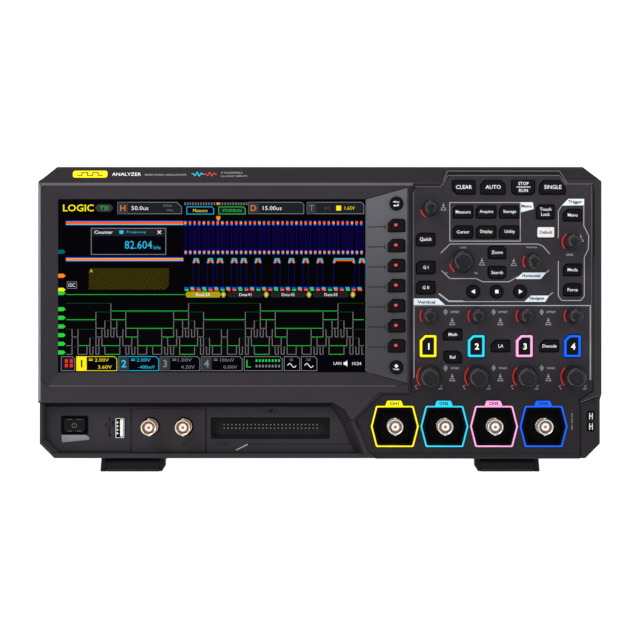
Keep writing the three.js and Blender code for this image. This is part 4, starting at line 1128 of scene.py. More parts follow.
def input_jacks():
    """Four jacks on their shield plate, each in a coloured frame with a tab."""
    piece = Piece("input_jacks")
    # The plate behind the jacks is near-black: painted shade in the recess.
    piece.plate([rect(36.0, 17.0, 158.0, 43.0, 1.0)], 46.0, 47.6, SHADOW_BLACK, edge=0.2)
    for x in INPUT_X:
        jack(piece, x, INPUT_Z, 47.0, 62.0)
    piece.finish("jack_metal", "input_bnc_block")
    for channel, slot, colour, x in zip(CHANNELS, CHANNEL_SLOTS, CHANNEL_INK, INPUT_X):
        ring = Piece(f"input_frame_{channel}")
        outer = hexagon(x, INPUT_Z - 0.2, 15.6, 12.2, 13.4, 1.3)
        inner = hexagon(x, INPUT_Z - 0.2, 14.5, 11.35, 12.4, 0.9)
        ring.plate([outer, inner], 50.4, 51.7, colour, edge=0.35)
        # The walls inside each frame are near-black: painted shade.
        ring.plate([inner, hexagon(x, INPUT_Z - 0.2, 12.4, 9.7, 10.6, 0.9)], 47.4, 51.2, SHADOW_BLACK, edge=0.3)
        tab = [(x - 6.2, 43.0), (x - 5.0, 46.6), (x + 4.2, 46.6), (x + 5.6, 43.0)]
        ring.plate([fillet(tab, [0.2, 1.0, 1.0, 0.2])], 50.4, 51.75, colour, edge=0.3)
        ring.text(f"CH{channel}", x - 0.4, 44.7, 2.0, 51.72, TAB_WORD, width=6.0, weight=0.036)
        ring.finish(slot)


def jack(piece, x, z, base, tip, shell=NICKEL):
    """A bayonet jack: flange, barrel with two lugs, insulator and centre contact."""
    mouth = [(4.1, tip - 9.0), (4.1, tip - 0.7), (4.3, tip - 0.2), (4.65, tip), (4.95, tip - 0.25)]
    barrel = [(5.1, tip - 0.8), (5.1, tip - 6.4), (4.7, tip - 6.8), (4.7, base + 3.2)]
    flange = [(5.1, base + 2.8), (5.1, base + 0.3), (4.8, base), (4.1, base)]
    piece.turned(mouth + barrel + flange, x, z, shell, 56, ring=True)
    insulator = [(0.0, base), (4.2, base), (4.2, tip - 8.4), (2.6, tip - 8.2), (2.6, tip - 2.1)]
    insulator += [(2.4, tip - 1.9), (1.0, tip - 1.9), (0.9, tip - 2.4), (0.0, tip - 2.4)]
    piece.turned(insulator, x, z, PTFE, 40)
    sleeve = [(0.45, tip - 5.0), (0.45, tip - 1.7), (0.6, tip - 1.55), (0.85, tip - 1.7)]
    piece.turned([*sleeve, (0.95, tip - 5.0)], x, z, COPPER, 24, ring=True)
    core = [(0.0, tip - 2.6), (0.5, tip - 2.6), (0.5, tip - 1.9), (0.0, tip - 1.8)]
    piece.turned(core, x, z, COPPER, 16)
    for sign in (1, -1):
        lug = turned_mesh([(0.0, 4.2), (0.95, 4.2), (0.95, 5.5), (0.75, 5.7), (0.0, 5.7)], 0, 0, 24)
        upright = Matrix.Rotation(-sign * math.pi / 2, 4, "X")
        lug.transform(Matrix.Translation((x, z, tip - 4.3)) @ upright)
        piece.take(lug, shell)


def probe_lugs():
    """Two H-shaped lugs, each in its own recess."""
    piece = Piece("probe_lugs")
    for z in (36.6, 29.9):
        piece.plate([rect(173.9, z - 3.1, 178.5, z + 3.1, 1.2)], 44.0, 48.4, GLOSS_BLACK, edge=0.2)
        for x in (175.3, 177.1):
            piece.plate([rect(x - 0.35, z - 2.2, x + 0.35, z + 2.2, 0.2)], 47.0, 52.8, STEEL, edge=0.15)
        piece.block(174.9, 177.5, z - 0.5, z + 0.5, 47.0, 50.4, STEEL, edge=0.12)
    piece.finish("jack_metal", "probe_comp_terminals")


# ---------------------------------------------------------------- connector bay

GENERATOR_X = (-111.0, -88.9)
GENERATOR_Z = 29.4
HEADER = (-71.2, 21.7, 5.9, 34.8)
USB = {"x": -131.1, "z": 28.4, "width": 5.8, "height": 13.2}
POWER = {"x": -160.8, "z": 30.2, "width": 14.4, "height": 9.4}
POWER_WELL = (-169.6, 24.1, -152.0, 36.3)


def bay_floor():
    """The floor of the connector bay, with a raised lid round the generator's jacks."""
    (side, corner), (foot, low) = BAY_CORNER
    outline = [(side, 42.6), (6.4, 42.6), *BAND_INNER[2:-1], (23.6, low), (foot, low), (side, corner)]
    header = widened(*HEADER, 0.3, 0.4)
    usb = cornered(USB["x"], USB["z"], 6.6, 14.0, radius=0.4)
    power = rect(*POWER_WELL, 1.2)
    jacks = [circle(x, GENERATOR_Z, 6.0) for x in GENERATOR_X]
    lid = rect(-123.3, 12.4, -75.2, 41.2, 0.8)
    piece = Piece("bay_floor")
    piece.plate([outline, header, usb, power, *jacks], 42.0, OUT["bay"], CHARCOAL, edge=0.35)
    piece.plate([lid, *jacks], 43.6, 44.5, CHARCOAL, edge=0.3)
    # A dark sheet of painted shade behind the bay's openings.
    piece.plate([rect(-170.0, 14.0, 10.0, 41.5)], 38.6, 39.4, SHADOW_SHEET)
    bay_marks(piece, OUT["bay"])
    piece.finish("front_plastic")


def bay_marks(piece, out):
    """Grooves and dark moulded marks on the floor of the connector bay."""
    for x in (-123.6, -74.8):
        piece.lines([(x, 12.6), (x, 41.6)], 1.0, out, BLACK)
    piece.lines([(-172.0, 13.2), (-104.0, 13.2)], 0.5, out, BLACK)
    piece.plate([[(-34.4, 40.6), (-30.0, 40.6), (-32.2, 37.6)]], out, out + PRINT, BLACK)
    piece.lines([(-36.4, 40.4), (-34.0, 37.4)], 0.5, out, BLACK)
    piece.lines([(-28.0, 40.4), (-30.4, 37.4)], 0.5, out, BLACK)
    piece.lines([(-55.1, 13.8), (-47.3, 17.7)], 0.7, out, FAINT)
    piece.lines([(-47.3, 17.7), (23.0, 17.7)], 0.4, out, BLACK)
    for x, words in zip(GENERATOR_X, ("G I", "G II")):
        piece.text(words, x, 17.9, 2.0, out + 0.5, BLACK)
    piece.text("D15-D0", -64.0, 18.1, 1.9, out, BLACK)
    usb_mark(piece, -138.0, 29.4, out)


def usb_mark(piece, x, z, out):
    """A trident: a stem with two branches."""
    piece.lines([(x, z - 5.6), (x, z + 5.0)], 0.55, out, BLACK)
    piece.plate([[(x - 1.1, z + 4.4), (x + 1.1, z + 4.4), (x, z + 6.4)]], out, out + PRINT, BLACK)
    piece.plate([circle(x, z - 5.6, 1.1, 20)], out, out + PRINT, BLACK)
    piece.lines([(x, z - 3.4), (x - 2.2, z - 1.0), (x - 2.2, z + 1.2)], 0.5, out, BLACK)
    piece.lines([(x, z - 2.0), (x + 2.2, z + 0.4), (x + 2.2, z + 2.4)], 0.5, out, BLACK)
    piece.plate([circle(x - 2.2, z + 1.4, 0.8, 16)], out, out + PRINT, BLACK)
    piece.plate([rect(x + 1.5, z + 2.2, x + 2.9, z + 3.6)], out, out + PRINT, BLACK)


def power_key():
    """The power key in its well, and the pale wedge below it."""
    x, z, front = POWER["x"], POWER["z"], 45.6
    outline = cornered(x, z, POWER["width"], POWER["height"], bl=1.5, br=1.5, radius=0.8)
    key = Piece("power_key_cap", "power_key")
    key.plate([outline], 41.4, front, GLOSS_BLACK, edge=0.7, steps=3)
    key.lines(arc(x, z, 1.5, 125, 415), 0.3, front, EDGE_HIGHLIGHT_AND_SIGN_INK)
    key.lines([(x, z + 0.3), (x, z + 1.9)], 0.3, front, EDGE_HIGHLIGHT_AND_SIGN_INK)
    # The power sign is printed; these short lines are painted glints.
    for left in (x - 4.6, x + 1.6):
        for level in (z + 3.8, z - 3.8):
            key.lines([(left, level), (left + 3.0, level)], 0.3, front, SHEEN)
    key.finish("power_key_plastic", "power_key")

    well = Piece("power_key_well")
    # The well round the key is near-black: painted shade.
    well.plate([rect(*POWER_WELL, 1.1), grown(outline, 0.3)], 41.0, 44.3, SHADOW_BLACK, edge=0.3)
    wedge = [(-169.2, 18.7, 44.2), (-151.0, 20.6, 44.2), (-151.0, 22.4, 45.6), (-153.4, 23.9, 45.6)]
    well.facet([*wedge, (-169.2, 23.9, 45.6)], 2.0, WEDGE, edge=0.3)
    well.finish("front_plastic")


def generator_jacks():
    jacks = Piece("generator_jacks")
    for x in GENERATOR_X:
        jack(jacks, x, GENERATOR_Z, 43.5, 59.0, WARM)
    jacks.finish("jack_metal", "generator_bnc_pair")


def usb_socket():
    """The shell, its white tongue with four contacts, and the springs opposite."""
    usb = Piece("usb_socket")
    x, z, width, height = USB["x"], USB["z"], USB["width"], USB["height"]
    inner = cornered(x, z, width - 1.0, height - 1.0, radius=0.3)
    usb.plate([cornered(x, z, width, height, radius=0.5), inner], 31.2, 44.6, STEEL, edge=0.12)
    usb.plate([grown(inner, 0.1)], 31.2, 33.0, BLACK)
    usb.block(x + 0.2, x + 2.0, z - 5.6, z + 5.6, 33.0, 44.2, PTFE, edge=0.15)
    for step in range(4):
        level = z - 3.6 + 2.4 * step
        usb.block(x - 0.1, x + 0.25, level - 0.6, level + 0.6, 33.5, 43.6, GOLD, edge=0.05)
        usb.block(x - 2.3, x - 1.2, level - 0.7, level + 0.7, 40.0, 44.0, STEEL, edge=0.1)
    usb.finish("socket_steel", "usb_port")


def pod_header():
    """The shrouded header, with two rows of 25 pins."""
    header = Piece("pod_header")
    shroud = [rect(*HEADER, 0.5), widened(*HEADER, -1.4, 0.3)]
    header.plate(shroud, 32.2, 44.4, GLOSS_BLACK, edge=0.25)
    # The floor of the shroud is near-black: painted shade.
    header.plate([widened(*HEADER, -0.5)], 32.2, 35.0, SHADOW_BLACK)
    half, pitch = 0.36, 2.54
    for column in range(25):
        x = -62.9 + pitch * column
        for z in (30.4, 28.1):
            header.block(x - half, x + half, z - half, z + half, 35.0, 42.4, PIN, edge=0.1)
    header.finish("header_plastic", "logic_header")


# ---------------------------------------------------------------- rear cover

COVER_FRONT, COVER_WAIST, COVER_BACK = -26.7, 18.0, 62.0
WELL = (-66.0, -12.0, 66.0, 24.0)
WELL_FLOOR = 180.0
PORTS = (-84.0, 30.0, 62.0, 62.0)
INLET = {"x": 122.0, "z": 46.0}
HANDLE_LEG_X = 54.0
FAN = {"x": -112.0, "z": 105.0, "side": 60.0, "bore": 28.0}
LEG = {"inner": 101.2, "outer": 143.0, "ear": 3.0, "clear": 0.35,
       "y": -44.0, "z": 4.4, "nose": 4.3, "tail": -12.0}


def cover_section(y, inset, side_in=0.0, rise=0.0, drop=0.0, cut=9.5):
    """The rear cover cut across at y: a rectangle with cut corners."""
    side = CASE["half_width"] - 1 - inset - side_in
    low = CASE["bottom"] + 1 + inset + rise
    high = CASE["top"] - 1 - inset - drop
    return [
        (-side, y, low + cut), (-side + cut, y, low), (side - cut, y, low), (side, y, low + cut),
        (side, y, high - cut), (side - cut, y, high), (-side + cut, y, high), (-side, y, high - cut),
    ]


def cover_hull(inset, front, back, edge=0.0):
    """The solid form of the rear cover, which narrows behind its waist."""
    sections = [cover_section(front, inset), cover_section(COVER_WAIST, inset)]
    sections.append(cover_section(back, inset, 10.0, 6.0, 9.0, 12.0))
    bm = bmesh.new()
    rows = [[bm.verts.new(point) for point in section] for section in sections]
    bm.faces.new(rows[0])
    bm.faces.new(rows[-1][::-1])
    for first, second in zip(rows, rows[1:]):
        for k in range(8):
            n = (k + 1) % 8
            bm.faces.new((first[k], first[n], second[n], second[k]))
    bmesh.ops.recalc_face_normals(bm, faces=bm.faces)
    if edge:
        edges = [e for e in bm.edges if max(v.co.y for v in e.verts) > front + 1]
        bmesh.ops.bevel(bm, geom=edges, offset=edge, segments=4, profile=0.5, affect="EDGES")
    return mesh_from(bm)


def carved(mesh, cutters):
    """The mesh with the cutters taken away from it."""
    base = bpy.data.objects.new("carved", mesh)
    bm = bmesh.new()
    for cutter in cutters:
        bm.from_mesh(cutter)
        bpy.data.meshes.remove(cutter)
    tool = bpy.data.objects.new("cutter", mesh_from(bm))
    for made in (base, tool):
        bpy.context.scene.collection.objects.link(made)
    boolean = base.modifiers.new("carve", "BOOLEAN")
    boolean.operation, boolean.solver, boolean.object = "DIFFERENCE", "EXACT", tool
    boolean.use_self = True
    graph = bpy.context.evaluated_depsgraph_get()
    result = bpy.data.meshes.new_from_object(base.evaluated_get(graph))
    for made in (base, tool):
        bpy.data.objects.remove(made)
    return result


def prism(outline, low, high, place):
    """A cutter, in the part's own axes."""
    mesh = plate_mesh([outline], low, high)
    mesh.transform(place)
    return mesh


def vent_cutters():
    """The slots in both sides, in the back and in front of the fan."""
    cutters = []
    pitch, half, back = 9.0, 1.5, (50.0, 70.0)
    for index in range(12):
        z = 49.5 + pitch * index
        for low, high in ((170.0, 190.0), (-190.0, -170.0)):
            cutters.append(prism(rect(-12.0, z - half, 14.0, z + half, 1.3), low, high, RIGHT))
    for index in range(9):
        z = 91.5 + pitch * index
        cutters.append(prism(rect(-40.0, z - half, 150.0, z + half, 1.3), *back, REAR))
    for rise in range(-24, 25, 8):
        width = 2 * math.sqrt((FAN["bore"] + 0.5) ** 2 - rise**2)
        cutters.append(prism(cornered(FAN["x"], FAN["z"] + rise, width, 5.0, radius=2.2), *back, REAR))
    return cutters


def rear_case():
    """The rear cover: a shell with its slots and windows cut, the handle's well, bumpers and feet."""
    hollow = cover_hull(2.5, COVER_FRONT - 1, COVER_BACK - 2.5)
    shell = carved(cover_hull(0.0, COVER_FRONT, COVER_BACK, 2.2), [hollow])
    inlet = cornered(INLET["x"], INLET["z"], 31.8, 24.8, radius=0.8)
    windows = [
        prism(widened(*PORTS, 0.4, 1.0), 48.0, 70.0, REAR),
        prism(inlet, 48.0, 70.0, REAR),
        prism(rect(*WELL, 2.0), 190.0, 202.0, TOP),
    ]
    piece = Piece("rear_case", place=REAR)
    piece.take(carved(shell, [*vent_cutters(), *windows]), COVER, WORLD)
    mouth, rim = rect(*WELL, 2.0), widened(*WELL, 2.3, 3.0)
    leg_slots = [cornered(x, 11.0, 8.8, 8.8, radius=0.6) for x in (-HANDLE_LEG_X, HANDLE_LEG_X)]
    piece.plate([rim, mouth], WELL_FLOOR - 2.4, 196.6, COVER, place=TOP)
    piece.plate([rim, *leg_slots], WELL_FLOOR - 2.5, WELL_FLOOR, COVER, place=TOP)
    piece.plate([widened(*PORTS, 1.8, 1.6), widened(*PORTS, 0.3, 1.0)], 50.8, 61.0, BLACK)
    for x in (-158.0, 158.0):
        for z in (34.0, 168.0):
            bumper = cornered(x, z, 14.0, 14.0, 3.0, 3.0, 3.0, 3.0, 0.8)
            piece.plate([bumper], 58.0, 65.0, FOOT, edge=1.0)
            piece.plate([circle(x, z, 2.4, 24)], 64.6, 65.0, BLACK)
    for low, high in ((-142, -109), (109, 142)):
        foot = rect(low, 36.0, high, 58.0, 2.5)
        piece.plate([foot], 0.0, 15.0, FOOT, edge=0.8, both=True, place=TOP)
    for x, z in ((-164, 80), (164, 80), (-164, 124), (164, 124), (-90, 24), (90, 24), (0, 182)):
        screw(piece, x, z, 61.6)
    piece.finish("rear_plastic", "rear_cover")


def screw(piece, x, z, out):
    """A countersunk screw with a cross recess."""
    head = [(0.0, out - 1.0), (3.0, out - 1.0), (3.0, out + 0.35), (2.6, out + 0.6), (0.9, out + 0.6)]
    piece.turned([*head, (0.5, out), (0.0, out)], x, z, PIN, 24)
    for width, height in ((3.6, 0.7), (0.7, 3.6)):
        piece.plate([cornered(x, z, width, height, radius=0.0)], out + 0.3, out + 0.64, BLACK)


# The sockets of the rear plate: x, width and height.
REAR_SOCKETS = {"LAN": (38.0, 12.4, 9.6), "USB": (12.0, 8.8, 8.0), "VIDEO": (-14.0, 14.4, 5.0)}
REAR_JACKS = {"TRIG OUT": -46.0, "AUX": -69.0}


def rear_ports():
    """The rear plate with three sockets and two jacks."""
    z, front, label_z, label_height = 45.0, 53.0, 57.4, 2.2
    openings = {}
    for name, (x, width, height) in REAR_SOCKETS.items():
        openings[name] = cornered(x, z, width, height, radius=0.5)
    openings["VIDEO"] = cornered(-14.0, z, 14.4, 5.0, br=1.6, bl=1.6, radius=0.4)
    piece = Piece("rear_ports", place=REAR)
    piece.plate([rect(*PORTS, 0.8), *openings.values()], 50.8, front, ZINC, edge=0.25)
    for name, (x, width, height) in REAR_SOCKETS.items():
        rim = cornered(x, z, width + 2.8, height + 2.8, radius=0.8)
        piece.plate([rim, openings[name]], 40.0, 53.6, STEEL, edge=0.3)
        piece.plate([grown(openings[name], 0.2)], 40.0, 41.6, BLACK)
        piece.text(name, x, label_z, label_height, front, BLACK, weight=0.02)
    for step in range(8):
        x = 33.6 + 1.1 * step
        piece.block(x, x + 0.5, 46.2, 49.4, 42.0, 50.0, GOLD, edge=0.08)
    piece.block(9.2, 14.8, 43.4, 46.6, 41.0, 51.4, PTFE, edge=0.3)
    piece.block(-19.6, -8.4, 44.5, 45.6, 41.0, 51.4, TONGUE, edge=0.15)
    for words, x in REAR_JACKS.items():
        jack(piece, x, z, 51.3, 64.5)
        piece.text(words, x, label_z, label_height, front, BLACK, weight=0.02)
    for x in (-81.0, 58.0):
        screw(piece, x, 34.0, front)
    piece.finish("port_plate_steel", "rear_port_plate")


def mains_inlet():
    """An appliance inlet with two ears and three blades."""
    x, z = INLET["x"], INLET["z"]
    pocket = cornered(x, z, 24.5, 17.0, tl=4.0, tr=4.0, radius=1.2)
    piece = Piece("mains_socket", place=REAR)
    low = [(x - 25, z - 4), (x - 16, z - 11), (x + 16, z - 11), (x + 25, z - 4)]
    high = [(x + 25, z + 4), (x + 16, z + 11), (x - 16, z + 11), (x - 25, z + 4)]
    piece.plate([fillet(low + high, 3.0), pocket], 62.3, 64.3, BLACK, edge=0.5)
    piece.plate([cornered(x, z, 30.8, 23.8, radius=1.5), pocket], 36.4, 62.5, BLACK)
    piece.plate([grown(pocket, 0.3)], 44.0, 46.0, BLACK)
    for dx, dz in ((-7.0, -2.0), (7.0, -2.0), (0.0, 2.4)):
        piece.block(x + dx - 1.0, x + dx + 1.0, z + dz - 2.0, z + dz + 2.0, 45.0, 60.0, STEEL, edge=0.3)
    for dx in (-20.0, 20.0):
        screw(piece, x + dx, z, 64.0)
    piece.finish("port_plate_steel", "mains_inlet")


def fan():
    """The fan's frame with its spokes, and a wheel of seven blades."""
    x, z, inner = FAN["x"], FAN["z"], 43.0
    housing = Piece("fan_housing", place=REAR)
    holes = [circle(x + dx, z + dz, 2.2, 20) for dx in (-25, 25) for dz in (-25, 25)]
    square = [cornered(x, z, FAN["side"], FAN["side"], radius=3.0), circle(x, z, FAN["bore"], 64), *holes]
    housing.plate(square, inner, 58.0, BLACK, edge=0.5, both=True)
    for k in range(4):
        turn = spun(x, z, math.radians(45 + 90 * k))
        housing.block(8.0, 28.6, -1.2, 1.2, inner, 45.0, BLACK, edge=0.3, place=REAR @ turn)
    housing.turned([(0.0, inner), (10.5, inner), (10.5, 45.2), (0.0, 45.2)], x, z, BLACK, 40)
    housing.finish("fan_plastic", "fan_frame")

    rotor = Piece("fan_wheel", "fan_rotor", place=REAR)
    hub = [(0.0, 45.8), (10.0, 45.8), (10.0, 55.6), (9.4, 56.6), (8.2, 57.0), (0.0, 57.0)]
    rotor.turned(hub, x, z, GLOSS_BLACK, 48)
    leading = [(9.0, -2.2, 3.6), (18.0, -4.4, 3.6), (26.8, -7.0, 3.4)]
    trailing = [(26.8, 7.4, -3.4), (18.0, 5.0, -3.6), (9.0, 2.4, -3.6)]
    halves = [(0, 1, 4, 5), (1, 2, 3, 4)]
    blades = 7
    for k in range(blades):
        turn = spun(x, z, 2 * math.pi * k / blades, 51.5)
        rotor.sheet(leading + trailing, halves, 1.1, BLACK, edge=0.2, place=REAR @ turn)
    rotor.finish("fan_plastic", "fan_rotor")


def handle():
    """The lifting handle, parked in the well on top of the case."""
    piece = Piece("lifting_handle", "carry_handle")
    back, front = -19.5, -2.5
    grip = cornered(0.0, 190.0, 124.0, 12.0, tl=4.0, tr=4.0, radius=2.0)
    piece.plate([grip], back, front, BLACK, edge=2.6, steps=4, both=True)
    for index in range(15):
        x = -42.0 + 6.0 * index
        piece.plate([rect(x - 1.2, 186.4, x + 1.2, 196.0, 1.1)], -19.2, -2.8, KEY, edge=0.9, both=True)
    for x in (-HANDLE_LEG_X, HANDLE_LEG_X):
        piece.block(x - 7, x + 7, 180.5, 187.0, back, front, BLACK, edge=1.5)
        piece.block(x - 4, x + 4, 144.0, 187.0, -15.0, -7.0, BLACK, edge=0.6)
        piece.block(x - 6, x + 6, 142.0, 146.0, -17.0, -5.0, BLACK, edge=0.6)
    piece.finish("handle_plastic", "carry_handle")


def leg_section():
    """The leg from the side: a nose that is round on top and square at the sole, then a flat tongue."""
    y, z, nose, tail = LEG["y"], LEG["z"], LEG["nose"], LEG["tail"]
    crown = [math.pi / 2 + math.pi / 2 * k / 8 for k in range(9)]
    section = [(y + nose * math.cos(a), z + nose * math.sin(a)) for a in crown]
    section += [(y - nose, 0.9), (y - nose + 0.8, z - nose), (tail - 1.5, z - nose)]
    return [*section, (tail, 1.6), (tail, z + 1.3), (tail - 3, z + nose)]


def tilt_legs():
    """Two legs on steel pins, and the ears on the case that hold them."""
    inner, outer, ear, y, z = LEG["inner"], LEG["outer"], LEG["ear"], LEG["y"], LEG["z"]
    front, clear = LEG["nose"] - y, LEG["clear"]
    for side, sign in (("left", -1), ("right", 1)):
        low, high = sorted((sign * (inner + ear + clear), sign * (outer - ear - clear)))
        piece = Piece(f"tilt_leg_{side}", f"front_leg_{side}")
        piece.plate([leg_section()], low, high, FOOT, edge=0.5, both=True, place=RIGHT)
        # A lighter ridge along the lip: a painted highlight.
        piece.plate([rect(low + 1.0, 1.0, high - 1.0, 1.9)], front - 0.3, front + 0.4, SHADE_AND_SHEEN_GREY, edge=0.2)
        piece.plate([circle(y, z, 1.5, 24)], low - ear + 0.2, high + ear - 0.2, PIN, place=RIGHT)
        for k in range(5):
            along = -36.0 + 4.5 * k
            piece.plate([rect(along, 0.05, along + 2.0, 0.6)], low + 3, high - 3, KEY, place=RIGHT)
        piece.finish("leg_plastic", f"front_leg_{side}")

    ears = Piece("leg_mounts")
    sole, top = 0.1, 10.2
    for sign in (-1, 1):
        shapes = (
            [(inner, top), (inner, 3.9), (inner + 2.4, sole), (inner + ear, sole), (inner + ear, top)],
            [(outer - ear, top), (outer - ear, sole), (outer, sole), (outer + 0.4, 0.9),
             (outer - 0.4, top)],
        )
        for shape in shapes:
            ears.plate([[(sign * x, z) for x, z in shape]], 39.8, 48.2, FOOT, edge=0.4, both=True)
    ears.finish("front_plastic")


def finish_hidden_parts():
    """Procedural finishes for the parts inside the case that keep their CAD shape."""
    board = solder_mask()
    finishes = {"lcd_module": ZINC, "chassis_tray": ZINC, "main_board": board, "power_module": board}
    for node, material in finishes.items():
        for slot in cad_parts[node].material_slots:
            slot.material = material


# ---------------------------------------------------------------- display

SCREEN_COLOURS = {
    "white": (232, 234, 236),
    "grey": (120, 124, 130),
    "dark": (30, 31, 38),
    "black": (6, 4, 12),
    "shade": (50, 52, 56),
    "moss": (10, 9, 3),
    "indigo": (18, 9, 104),
    "olive_bright": (160, 150, 20),
    "navy": (5, 2, 30),
    "flame": (255, 84, 0),
    "sky": (20, 190, 230),
    "azure": (0, 116, 232),
    "amber": (240, 148, 0),
    "teal": (0, 96, 104),
    "cyan": (40, 190, 225),
    "yellow": (240, 226, 20),
    "olive": (92, 84, 6),
    "green": (40, 200, 60),
    "dim_green": (10, 64, 26),
    "pulse": (122, 116, 122),
    "orange": (240, 130, 30),
    "red": (220, 50, 40),
    "blue": (20, 70, 220),
}
SCREEN_STRENGTH = {"white": 1.3, "sky": 1.0, "azure": 0.9}
SCREEN = {
    name: lit(f"screen_{name}", srgb(*values), SCREEN_STRENGTH.get(name, 1.15))
    for name, values in SCREEN_COLOURS.items()
}


def screen_glass():
    graph = Graph("screen_glass")
    dark, light = (0.0004, 0.0002, 0.0007, 1), (0.0009, 0.0005, 0.0014, 1)
    graph.connect(graph.ramp(graph.noise(9.0), dark, light), "Base Color")
    graph.connect(graph.range(graph.noise(40.0, 5.0), 0.06, 0.14), "Roughness")
    graph.set(Specular_IOR_Level=0.03)
    return graph.material


def display():
    """The glass, and what it shows."""
    piece = Piece("display_glass")
    out = OUT["glass"]
    piece.block(-173.6, 29.7, 62.4, 180.6, 45.7, out, screen_glass(), edge=0.1)
    draw_display(Screen(piece, out))
    piece.finish("screen_glass", "touch_glass")


LAYER = 0.02  # distance between two layers of the drawing on the display
PLOT_LEFT, PLOT_RIGHT = -165.9, 28.6


class Screen:
    """Draws on the display in layers, each a hair in front of the last."""

    def __init__(self, piece, out):
        self.piece, self.out = piece, out

    def shape(self, outline, colour, layer=0):
        self.fill([outline], colour, layer)

    def fill(self, loops, colour, layer):
        level = self.out + LAYER * layer
        self.piece.plate(loops, level - LAYER, level + 0.015, SCREEN[colour])

    def bar(self, x0, z0, x1, z1, colour, layer=0):
        self.shape(rect(x0, z0, x1, z1), colour, layer)

    def line(self, points, width, colour, layer=0, closed=False):
        self.fill(ribbon(points, width, closed), colour, layer)

    def word(self, words, x, z, height, colour, layer=2, width=None, weight=-0.006):
        out = self.out + LAYER * layer
        self.piece.text(words, x, z, height * 1.12, out, SCREEN[colour], width, LAYER, weight)

    def box(self, x0, z0, x1, z1, colour, fill="dark", slant=1.6, layer=1):
        """A panel with its right top corner cut off and a bright border."""
        outline = [(x0, z0), (x1, z0), (x1, z1 - slant), (x1 - slant, z1), (x0, z1)]
        self.shape(outline, fill, layer - 1)
        self.line(outline, 0.35, colour, layer, closed=True)


def draw_display(screen):
    draw_top_bar(screen)
    draw_analog_traces(screen)
    draw_counter(screen)
    draw_bus_decode(screen)
    draw_logic_traces(screen)
    draw_status_bar(screen)


def draw_top_bar(screen):
    """The time base, the record's overview, the delay and the trigger."""
    low, high, middle = 168.5, 176.0, 172.2
    tabbed = (
        ("H", "orange", -132.1, -128.8, -125.4, -90.4, 3.0),
        ("D", "orange", -46.6, -43.4, -40.0, -10.6, 1.6),
        ("T", "grey", -8.4, -5.5, -2.6, 28.6, 1.6),
    )
    for letter, colour, left, centre, tab, right, slanted in tabbed:
        screen.box(left, low, right, high, "grey", "dark", slanted)
        screen.bar(left, low, tab, high, "shade", 2)
        screen.word(letter, centre, middle, 3.4, colour, 3)
    screen.word("50.0us", -117.6, middle, 2.3, "white", width=11.0)
    screen.word("2GSa/s", -99.6, 173.9, 1.3, "grey")
    screen.word("10Mpts", -98.0, 170.7, 1.3, "grey")
    for step in range(25):
        x = -88.6 + 1.75 * step
        screen.line([(x, 174.2), (x + 0.8, 175.9)], 0.35, "grey")
        screen.line([(x + 0.8, 174.2), (x, 175.9)], 0.35, "grey")
    screen.bar(-67.6, 174.4, -65.6, 175.9, "orange", 1)
    screen.box(-87.0, 168.3, -69.4, 173.0, "cyan", "navy", 1.2)
    screen.word("Measure", -78.2, 170.6, 1.7, "yellow")
    screen.box(-66.2, 168.3, -48.8, 173.0, "green", "dark", 1.2)
    screen.word("STOP/RUN", -57.5, 170.6, 1.6, "green")
    screen.word("15.00us", -31.2, middle, 2.3, "white", width=12.2)
    screen.word("DC", 4.8, middle, 1.8, "olive")
    screen.bar(10.6, 170.6, 13.8, 173.8, "yellow", 2)
    screen.word("1.65V", 19.4, middle, 1.9, "yellow")
    screen.word("LOGIC", -157.8, 172.3, 4.1, "yellow", width=20.0, weight=0.012)
    screen.shape(cornered(-141.0, 172.3, 11.4, 5.0, 1.8, 1.8, 1.8, 1.8, 0.4), "shade", 1)
    screen.word("T'D", -141.0, 172.3, 2.4, "green")


